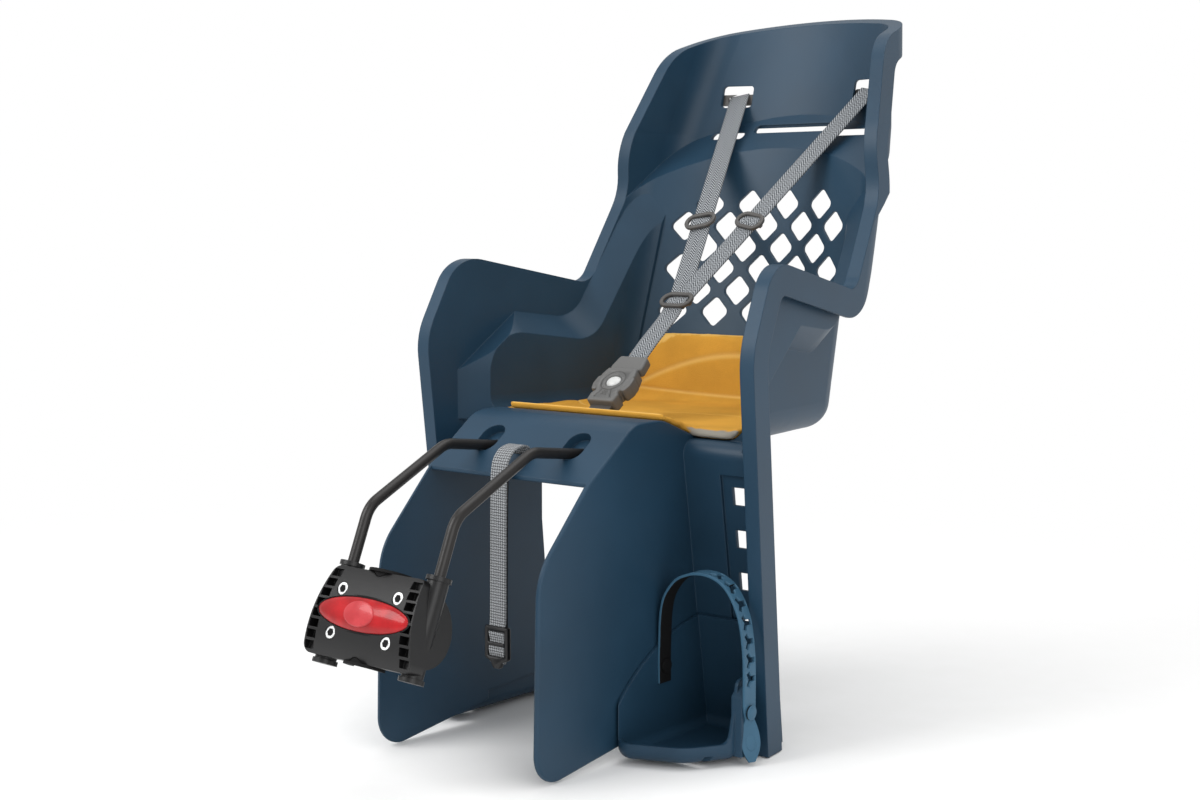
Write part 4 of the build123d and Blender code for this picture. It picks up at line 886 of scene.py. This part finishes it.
@dataclass
class Harness(Assembly):
    """Harness webbing with its sliders."""

    slot: Triple = (82.0, 447.0, 618.5)
    join: Triple = (1.5, 224.0, 401.0)
    tongue: Triple = (0.0, 152.0, 345.4)
    width: float = 23.5
    thickness: float = 1.5
    slot_overlap: float = 7.0
    join_overlap: float = 6.0
    lower_overlap: float = 10.0
    crossing: float = 1.0
    plain_shares: Triple = (0.0, 0.3, 0.55)
    last_share: float = 0.85
    lower_rises: Pairs = ((0.0, 0.0), (0.35, 0.8), (0.8, 0.0), (1.0, 3.6))
    lower_rows: int = 80
    slider_share: float = 0.63
    slider_rise: float = 2.6
    slider_straight: float = 7.0
    lower_straight: float = 8.5
    lower_lift: float = 1.2
    ring: Ring = Ring((11.0, 11.0), (6.6, 6.6), 4.2, 1.5)
    ring_lift: float = 1.0
    bar_size: Triple = (16.0, 4.6, 2.2)
    bar_drop: float = 1.4
    bar_edge: float = 1.0

    def build(self) -> None:
        """Makes the three straps and the three sliders."""
        for side, way in SIDES:
            self.build_shoulder(side, way)
        self.build_lower()
        self.dress(
            "hardware", "strap_retainer_left", "strap_retainer_right", "crotch_retainer", "security_retainer"
        )

    def slider(self, where: Matrix, straight: float) -> Workpiece:
        """Oval slider over a strap, with a bar under it.

        Args:
            where: Frame on the strap.
            straight: Half length of the slider's straight sides.

        Returns:
            The mesh.
        """
        work = Workpiece()
        work.ring(shifted(where, z=self.ring_lift), replace(self.ring, straight=straight))
        bar = (self.bar_size[0] + 2 * straight, *self.bar_size[1:])
        work.rounded_box(shifted(where, z=-self.bar_drop), bar, self.bar_edge)
        return work

    def build_shoulder(self, side: str, way: int) -> None:
        """Makes a strap from its slot to the join, with its slider.

        Args:
            side: Name of its side.
            way: 1 on the left and -1 on the right.
        """
        top, low = (seat_point(way * x, y, z) for x, y, z in (self.slot, self.join))
        down = (low - top).normalized()
        where = place(top.lerp(low, self.slider_share), RIGHT, down * -1)
        out = where.to_3x3() @ UP
        low = low + out * (way * self.crossing * MM)
        run = (low - top).length
        points = [top - down * (self.slot_overlap * MM)]
        points += [top.lerp(low, share) for share in self.plain_shares]
        reach = self.ring.outer[0]
        for offset, rise in ((-reach, 0.0), (0.0, self.slider_rise), (reach, 0.0)):
            points.append(top.lerp(low, self.slider_share + offset * MM / run) + out * (rise * MM))
        points += [top.lerp(low, self.last_share), low + down * (self.join_overlap * MM)]
        work = Workpiece()
        work.ribbon(points, RIGHT, self.width, self.thickness)
        self.add(
            work, f"shoulder_webbing_{side}", "webbing", Body.SEAT, "webbing", f"shoulder_strap_{side}"
        )
        work = self.slider(where, self.slider_straight)
        self.add(
            work, f"shoulder_adjuster_{side}", "hardware", Body.SEAT, "slider", f"shoulder_slider_{side}"
        )
        log.info("strap %s is %.0f mm long", side, run / MM)

    def build_lower(self) -> None:
        """Makes the strap from the tongue to the join, with its slider."""
        low, top = seat_point(*self.tongue), seat_point(0.0, *self.join[1:])
        up = (top - low).normalized()
        where = place(top, RIGHT, up)
        out = where.to_3x3() @ UP
        points = [low.lerp(top, share) + out * (rise * MM) for share, rise in self.lower_rises]
        points.append(top + up * (self.lower_overlap * MM))
        work = Workpiece()
        work.ribbon(points, RIGHT, self.width, self.thickness, rows=self.lower_rows)
        self.add(work, "lower_webbing", "webbing", Body.SEAT, "webbing", "lower_strap")
        work = self.slider(shifted(where, z=self.lower_lift), self.lower_straight)
        self.add(work, "lower_adjuster", "hardware", Body.SEAT, "slider", "lower_slider")


@dataclass
class Buckle(Assembly):
    """Push-button buckle on the crotch strap."""

    foot: Triple = (0.0, 101.1, 306.4)
    run: Triple = (0.0, 0.7948, 0.6069)
    body: Plate = Plate(
        rounded(mirrored(((16, 0.5), (17, 11), (13.5, 15), (19.5, 22), (20.5, 38), (17.5, 48))), 3.0),
        15.6, 2.2,
    )
    tongue: Plate = Plate(rounded(mirrored(((20, 48.6), (17, 68.5))), 4.5), 10.6, 2.4)
    button: Dome = Dome((8.4, 7.4), 4.2)
    button_up: float = 28.8
    button_foot: float = 5.2
    pocket_gap: float = 0.5
    pocket_floor: float = 1.5
    ring_line: Ring = Ring((13.4, 13.4), (12.5, 12.5), 3.0)
    groove: float = 0.8
    groove_edge: float = 0.1
    groove_run: float = 13.0
    groove_spot: Pair = (7.2, 11.5)
    groove_turn: float = 20.0
    lobe: Pairs = ((14, 17), (20, 16), (22.8, 24), (22.5, 34), (18, 37))
    lobe_corner: float = 3.0
    lobe_edge: float = 2.0
    lobe_lift: float = 1.2
    lobe_step: float = 0.4
    dot: Dome = Dome((0.6, 0.6), 0.7)
    dot_rows: int = 4
    dot_pitch: Pair = (1.8, 1.6)
    dot_from: float = 9.5
    dot_sunk: float = 0.2
    spring_left: float = 0.03

    def build(self) -> None:
        """Makes the body, grips, tongue and button."""
        where = place(seat_point(*self.foot), RIGHT, Vector(self.run))
        under = shifted(where, z=-self.body.thickness / 2)
        work = Workpiece()
        work.plate(under, self.body)
        body = work.finish("buckle", self.of("buckle"))
        carve(body, *self.make_cuts(where))
        own(body, Body.SEAT, "buckle", "buckle_body")
        self.build_grips(under)
        work = Workpiece()
        work.plate(shifted(where, z=-self.tongue.thickness / 2), self.tongue)
        self.add(work, "tongue", "buckle", Body.SEAT, "buckle", "buckle_tongue")
        work = Workpiece()
        work.dome(shifted(where, y=self.button_up, z=self.button_foot), self.button)
        self.add(work, "press_button", "button", Body.BUCKLE_BUTTON, "button", "buckle_button")
        self.fit_spring("buckle_spring", Body.SEAT, "buckle_press", self.spring_left)
        self.dress("hardware", "crotch_strap")

    def build_grips(self, under: Matrix) -> None:
        """Makes a grip lobe on each side and a stippled patch below the button."""
        work = Workpiece()
        top = self.body.thickness
        for way in (-1, 1):
            outline = rounded([(way * x, y) for x, y in self.lobe], self.lobe_corner)
            lobe = Plate(outline, top - self.lobe_lift - self.lobe_step, self.lobe_edge)
            work.plate(shifted(under, z=self.lobe_lift), lobe)
        for row in range(self.dot_rows):
            columns = self.dot_rows - row % 2
            for column in range(columns):
                x = (column - (columns - 1) / 2) * self.dot_pitch[0]
                y = self.dot_from + row * self.dot_pitch[1]
                work.dome(shifted(under, x, y, top - self.dot_sunk), self.dot)
        self.add(work, "buckle_grips", "buckle", Body.SEAT, "buckle")

    def make_cuts(self, where: Matrix) -> List[Piece]:
        """Cutters for the button's pocket, a ring line round it and two lines spreading below it."""
        top = self.body.thickness / 2
        hole = oval(*(half + self.pocket_gap for half in self.button.half))
        middle = shifted(where, y=self.button_up)
        pocket = Workpiece()
        pocket.plate(shifted(middle, z=self.pocket_floor), Plate(hole, top))
        pocket.ring(shifted(middle, z=top - self.groove), self.ring_line)
        lines = Workpiece()
        for way in (-1, 1):
            turn = Matrix.Rotation(math.radians(way * self.groove_turn), 4, "Z")
            spot = shifted(where, way * self.groove_spot[0], self.groove_spot[1], top) @ turn
            lines.rounded_box(spot, (self.groove, self.groove_run, 2 * self.groove), self.groove_edge)
        return [work.finish("buckle_cuts", self.of("groove")) for work in (pocket, lines)]


@dataclass
class SecurityStrap(Assembly):
    """Strap that ties the seat to the bike's frame, with its ladder lock."""

    width: float = 19.6
    thickness: float = 1.9
    rows: int = 260
    run: Pairs = (
        (-7, 267.5), (-11.7, 273.9), (-16, 279.4), (-24, 280.6), (-36, 276.5), (-44, 265), (-46, 235),
        (-47, 170), (-47.8, 122), (-49.6, 112), (-48.0, 105), (-49.6, 97), (-48.0, 89), (-48.2, 84),
    )
    backing_run: Pairs = ((-42.6, 256), (-43.6, 230), (-44.6, 170), (-45, 112))
    backing_inset: float = 1.5
    backing_thickness: float = 1.2
    backing_rows: int = 60
    lock_spot: Pair = (-45.8, 79.0)
    lock: Plate = Plate(rounded(mirrored(((4, 0), (7, 6), (14.2, 9), (14.2, 39))), 3.0), 5.4, 1.3)
    window_half: float = 10.4
    window_spans: Pairs = ((11.0, 21.0), (24.0, 34.5))
    window_corner: float = 1.5
    window_below: float = 3.0
    window_cut: float = 12.0

    def build(self) -> None:
        """Makes the strap, which ends behind the lock's windows, the run behind it and the lock."""
        work = Workpiece()
        run = [seat_point(0.0, y, z) for y, z in self.run]
        work.ribbon(run, RIGHT, self.width, self.thickness, rows=self.rows)
        self.add(work, "security_webbing", "security", Body.SEAT, "security", "security_strap")
        work = Workpiece()
        run = [seat_point(0.0, y, z) for y, z in self.backing_run]
        width = self.width - self.backing_inset
        work.ribbon(run, RIGHT, width, self.backing_thickness, rows=self.backing_rows)
        self.add(work, "security_backing", "liner", Body.SEAT, "security")
        self.build_lock()

    def build_lock(self) -> None:
        """Makes the ladder lock: two windows over a pointed tab."""
        where = place(seat_point(0.0, *self.lock_spot), RIGHT, UP)
        work = Workpiece()
        work.plate(where, self.lock)
        lock = work.finish("lock", self.of("nylon"))
        cuts = Workpiece()
        for span in self.window_spans:
            window = rounded(mirrored([(self.window_half, height) for height in span]), self.window_corner)
            cuts.plate(shifted(where, z=-self.window_below), Plate(window, self.window_cut))
        carve(lock, cuts.finish("lock_cuts", self.of("nylon")))
        own(lock, Body.SEAT, "block", "ladder_lock")


@dataclass
class Pad(Assembly):
    """Felt pad, swollen a little by cloth simulation and pressed along its lines."""

    voxel: float = 5.5
    child: Triple = (0.0, 200.0, 420.0)
    swell_cap: float = 1.4
    under_cap: float = 0.15
    frames: int = 10
    pressure: float = 4.0
    stiffness: float = 40.0
    quality: int = 3
    top: float = 363.0
    side_top: float = 296.0
    rise_from: float = 262.0
    rim_from: float = 305.0
    no_rim: float = 99.0
    rim_band: float = 2.0
    inset: float = 19.0
    lower_lines: float = 325.0
    back_from: float = 270.0
    back_line: float = 299.0
    back_bow: Pair = (5.0, 100.0)
    front_line: float = 214.0
    front_wave: Pair = (13.0, 34.0)
    line_depth: float = 1.1
    line_half: float = 1.5
    line_reach: float = 6.0
    binding_front: float = 124.0
    binding_from: float = 96.0
    binding_tilt: float = -0.3

    def build(self) -> None:
        """Makes the pad from its solid: swells it, smooths it and presses its lines."""
        pad = copy_node("seat_pad", "felt_pad", self.of("felt"))
        remesh = pad.modifiers.new("even", "REMESH")
        remesh.mode, remesh.voxel_size = "VOXEL", self.voxel * MM
        settle(pad)
        self.swell(pad)
        smooth = pad.modifiers.new("smooth", "SUBSURF")
        smooth.levels = smooth.render_levels = 1
        settle(pad)
        self.refine(pad.data)
        self.press_lines(pad.data)
        pad.data.materials.clear()
        pad.data.materials.append(self.of("felt"))
        pad.data.shade_smooth()
        own(pad, Body.SEAT, "pad", "seat_pad")

    def faces_child(self, point: Vector, normal: Vector) -> bool:
        """Whether a point of the pad is on its upper side."""
        return normal.dot(seat_point(*self.child) - point) > 0

    def swell(self, pad: Piece) -> None:
        """Runs the cloth with a little pressure and caps how far each point moves."""
        before = [(vert.co.copy(), vert.normal.copy()) for vert in pad.data.vertices]
        cloth = pad.modifiers.new("cloth", "CLOTH")
        cloth.settings.quality = self.quality
        cloth.settings.use_pressure = True
        cloth.settings.uniform_pressure_force = self.pressure
        cloth.settings.effector_weights.gravity = 0.0
        cloth.settings.tension_stiffness = cloth.settings.compression_stiffness = self.stiffness
        cloth.collision_settings.use_collision = False
        scene = bpy.context.scene
        for step in range(1, self.frames + 1):
            scene.frame_set(step)
        settle(pad)
        scene.frame_set(1)
        for vert, (start, normal) in zip(pad.data.vertices, before):
            cap = (self.swell_cap if self.faces_child(start, normal) else self.under_cap) * MM
            moved = vert.co - start
            vert.co = start + (moved.normalized() * min(moved.length, cap) if moved.length else moved)
        log.info("pad swollen over %d frames", self.frames)

    def near(self, point: Vector) -> Pair:
        """Distances in millimetres of a point from the nearest line and below the pad's upper rim."""
        x, y, z = (point - SEAT_DATUM) / MM
        rim = self.no_rim
        if z > self.rim_from:
            rim = min(self.top - z, (y - self.rise_from + self.side_top - z) / math.sqrt(2))
        ways = [abs(rim - self.inset)]
        if z < self.lower_lines and y > self.back_from:
            bow, reach = self.back_bow
            ways.append(abs(z - self.back_line - bow * (x / reach) ** 2))
        elif z < self.lower_lines:
            wave, reach = self.front_wave
            ways.append(abs(y - self.front_line - wave * math.sin(x / reach)))
        return min(ways), rim

    def refine(self, mesh: bpy.types.Mesh) -> None:
        """Makes the mesh finer along the lines."""
        work = bmesh.new()
        work.from_mesh(mesh)
        close = {vert for vert in work.verts if self.near(vert.co)[0] < self.line_reach}
        links = [link for link in work.edges if link.verts[0] in close and link.verts[1] in close]
        bmesh.ops.subdivide_edges(work, edges=links, cuts=1, use_grid_fill=True)
        work.to_mesh(mesh)
        work.free()

    def press_lines(self, mesh: bpy.types.Mesh) -> None:
        """Presses the pad's lines in and notes them, its edge and its binding as attributes."""
        pressed = mesh.attributes.new("pressed", "FLOAT", "POINT")
        bound = mesh.attributes.new("bound", "FLOAT", "POINT")
        for vert in mesh.vertices:
            x, y = (vert.co - SEAT_DATUM).xy / MM
            at_front = y < self.binding_front and vert.normal.y < self.binding_tilt
            bound.data[vert.index].value = 1.0 if at_front and abs(x) > self.binding_from else 0.0
            if not self.faces_child(vert.co, vert.normal):
                continue
            way, rim = self.near(vert.co)
            share = math.exp(-((way / self.line_half) ** 2))
            pressed.data[vert.index].value = max(share, 1.0 if rim < self.rim_band else 0.0)
            vert.co -= vert.normal * (share * self.line_depth * MM)


@dataclass
class Footrests(Assembly):
    """Rubber straps of both footrests."""

    run: Pairs = (
        (103.4, 60), (103.4, 95), (107, 137), (120.5, 158), (137, 166.2), (151, 168), (165, 165.5),
        (176, 159), (185, 147.5), (192.5, 130), (196.9, 102), (197.8, 78), (197.9, 50), (198.6, 30),
        (200.2, 16), (201.2, 3),
    )
    strap_y: float = 66.0
    width: float = 17.6
    thickness: float = 2.7
    rows: int = 200
    columns: int = 10
    neck: float = 10.0
    neck_from: float = 0.84
    paddle: float = 19.0
    paddle_from: float = 0.88
    paddle_end: float = 0.4
    twist: float = 32.0
    twist_run: float = 0.06
    arch: Pair = (150.0, 90.0)
    shaded_face_tilt: float = 0.3
    hole_arm: float = 7.4
    hole_half: float = 2.5
    hole_crook: Pair = (0.6, 1.04)
    hole_corner: float = 0.5
    hole_cut: float = 8.0
    hole_from: float = 0.455
    hole_step: float = 0.052
    hole_count: int = 7
    stud_face: float = 200.4
    stud_height: float = 48.0
    cap: Plate = Plate(oval(6.7, 6.7), 1.2, 0.4)
    knob: Dome = Dome((5.2, 5.2), 1.0)
    badge: Dome = Dome((5.0, 7.5), 0.8)
    badge_at: float = 0.945
    sunk: float = 0.1

    def width_at(self, share: float) -> float:
        """Width at a share of the strap: full, then a neck and an oval tail."""
        if share < self.neck_from:
            return self.width
        if share < self.paddle_from:
            narrow = (share - self.neck_from) / (self.paddle_from - self.neck_from)
            return self.width + (self.neck - self.width) * narrow
        tail = (share - self.paddle_from) / (1.0 - self.paddle_from)
        swell = (self.paddle - self.neck) * math.sin(math.pi * tail)
        return self.neck + swell - self.paddle_end * self.neck * tail**6

    def across(self, way: int, share: float) -> Vector:
        """Direction across the strap, whose tail turns to the front."""
        tail = min(max((share - self.neck_from) / self.twist_run, 0.0), 1.0)
        turn = math.radians(self.twist * tail)
        return Vector((way * math.sin(turn), math.cos(turn), 0.0))

    def build(self) -> None:
        """Makes both straps with their holes and caps."""
        for (side, way), body in zip(SIDES, (Body.FOOTREST_LEFT, Body.FOOTREST_RIGHT)):
            points = [seat_point(way * x, self.strap_y, z) for x, z in self.run]
            across = partial(self.across, way)
            work = Workpiece()
            work.ribbon(points, across, self.width_at, self.thickness, self.rows, self.columns)
            strap = work.finish(f"rubber_strap_{side}", self.of("rubber"))
            carve(strap, self.make_holes(Route(points)))
            # painted shade: faces turned into the strap's arch take the black liner material, standing in for
            # the shade inside it
            strap.data.materials.append(self.of("liner"))
            middle = seat_point(way * self.arch[0], self.strap_y, self.arch[1])
            for face in strap.data.polygons:
                inward = Vector((*middle.xy, min(middle.z, face.center.z))) - face.center
                face.material_index = int(face.normal.dot(inward.normalized()) > self.shaded_face_tilt)
            own(strap, body, "foot_rubber", f"foot_strap_{side}")
            self.dress("liner", f"foot_studs_{side}")
            self.add(self.make_caps(Route(points), way), f"stud_cap_{side}", "rubber", body, "foot_rubber")

    def make_caps(self, route: Route, way: int) -> Workpiece:
        """Cap on the outer stud and a raised oval on the tail."""
        work = Workpiece()
        stud = seat_point(way * self.stud_face, self.strap_y, self.stud_height)
        outward = place(stud, BACK * way, UP)
        work.plate(outward, self.cap)
        work.dome(shifted(outward, z=self.cap.thickness - self.sunk), self.knob)
        point, ahead = route.at(self.badge_at)
        tail = place(point, self.across(way, self.badge_at) * -way, ahead)
        work.dome(shifted(tail, z=self.thickness / 2 - self.sunk), self.badge)
        return work

    def make_holes(self, route: Route) -> Piece:
        """Y-shaped cutters along the strap."""
        arm, half = self.hole_arm, self.hole_half
        crook = (half * self.hole_crook[0], half * self.hole_crook[1])
        turns = [Matrix.Rotation(math.radians(angle), 2) for angle in (0.0, 120.0, 240.0)]
        corners = [Vector(spot) for spot in ((arm, -half), (arm, half), crook)]
        outline = rounded([tuple(turn @ corner) for turn in turns for corner in corners], self.hole_corner, 2)
        work = Workpiece()
        for hole in range(self.hole_count):
            point, ahead = route.at(self.hole_from + hole * self.hole_step)
            where = shifted(place(point, BACK, ahead), z=-self.hole_cut / 2)
            work.plate(where, Plate(outline, self.hole_cut))
        return work.finish("strap_cuts", self.of("groove"))


@dataclass(frozen=True)
class Lamp:
    """Soft square lamp: its place and side in metres, and its power in watts."""

    name: str
    spot: Triple
    size: float
    power: float

    def hang(self, aim: Vector) -> None:
        """Adds the lamp, aimed at a point."""
        data = bpy.data.lights.new(self.name, "AREA")
        data.shape, data.size, data.energy = "SQUARE", self.size, self.power
        lamp = add_object(self.name, data)
        lamp.location = Vector(self.spot)
        lamp.rotation_euler = (aim - lamp.location).to_track_quat("-Z", "Y").to_euler()


@dataclass
class Studio:
    """Pale floor, soft lights and the photograph's camera."""

    camera_at: Triple = (1083.6, -1041.5, 337.4)
    azimuth: float = 39.078
    elevation: float = 5.736
    lens: float = 54.0
    sensor: float = 36.0
    clip: Pair = (0.05, 60.0)
    floor_half: float = 6.0
    floor_back: float = 0.2
    floor_gap: float = 0.001
    floor_fade: Pair = (0.5, 1.6)
    world_light: float = 0.70
    lamp_aim: Triple = (0.0, 0.3, 0.2)
    lamps: Tuple[Lamp, ...] = (
        Lamp("key", (-1.3, -2.0, 2.1), 1.8, 54.0),
        Lamp("fill", (2.4, -1.3, 1.2), 2.0, 26.0),
        Lamp("top", (0.2, 0.6, 2.6), 2.2, 26.0),
    )

    def build(self) -> None:
        """Sets up camera, floor, world and lights."""
        self.add_camera()
        self.add_floor()
        self.add_world()
        for lamp in self.lamps:
            lamp.hang(Vector(self.lamp_aim))
        bpy.context.scene.view_settings.view_transform = "Standard"

    def add_camera(self) -> None:
        """Camera of the photograph."""
        data = bpy.data.cameras.new("camera")
        data.lens, data.sensor_width, data.sensor_fit = self.lens, self.sensor, "HORIZONTAL"
        data.clip_start, data.clip_end = self.clip
        turn, tilt = math.radians(self.azimuth), math.radians(self.elevation)
        look = Vector((-math.sin(turn) * math.cos(tilt), math.cos(turn) * math.cos(tilt), -math.sin(tilt)))
        camera = add_object("camera", data)
        camera.location = Vector(self.camera_at) * MM
        camera.rotation_euler = look.to_track_quat("-Z", "Y").to_euler()
        bpy.context.scene.camera = camera

    def add_floor(self) -> None:
        """Pale floor under the leg guards that fades to white far off."""
        shader = Shader(bpy.data.materials.new("pale_floor"))
        where = shader.position()
        distance = shader.node("ShaderNodeVectorMath", {"operation": "LENGTH"}, {0: where}, "Value")
        tone = shader.mix(shader.noise(30.0, 3.0), srgb("f6f6f5"), srgb("fafafa"))
        cloth = shader.node("ShaderNodeBsdfDiffuse", None, {"Color": tone})
        glow = shader.node("ShaderNodeEmission", None, {"Color": WHITE, "Strength": 1.0})
        fade = distance.ramp(*self.floor_fade)
        mixed = shader.node("ShaderNodeMixShader", None, {0: fade, 1: cloth, 2: glow})
        shader.node("ShaderNodeOutputMaterial", None, {"Surface": mixed})
        work = bmesh.new()
        middle = Matrix.Translation((0.0, self.floor_back, cad_box[0].z - self.floor_gap))
        bmesh.ops.create_grid(work, x_segments=8, y_segments=8, size=self.floor_half, matrix=middle)
        mesh = bpy.data.meshes.new("floor")
        work.to_mesh(mesh)
        work.free()
        mesh.materials.append(shader.owner)
        floor = add_object("floor", mesh)

    def add_world(self) -> None:
        """World that lights softly and looks white to the camera and through glass."""
        world = bpy.data.worlds.new("studio")
        shader = Shader(world)
        camera, glass = (
            shader.node("ShaderNodeLightPath", output=f"Is {ray} Ray") for ray in ("Camera", "Transmission")
        )
        seen = camera.maximum(glass)
        strength = shader.node("ShaderNodeMapRange", None, {0: seen, 3: self.world_light, 4: 1.0})
        back = shader.node("ShaderNodeBackground", None, {"Color": WHITE, "Strength": strength})
        shader.node("ShaderNodeOutputWorld", None, {"Surface": back})
        bpy.context.scene.world = world


def main() -> None:
    """Builds every sub-assembly in order."""
    logging.basicConfig(level=logging.INFO, format="%(name)s %(relativeCreated)d ms: %(message)s")
    finishes = Finishes()
    for part in (
        Shell(finishes), Block(finishes), Harness(finishes), Buckle(finishes), SecurityStrap(finishes),
        Pad(finishes), Footrests(finishes), Studio(),
    ):
        part.build()
        log.info("built %s", type(part).__name__)


if __name__ == "__main__":
    main()
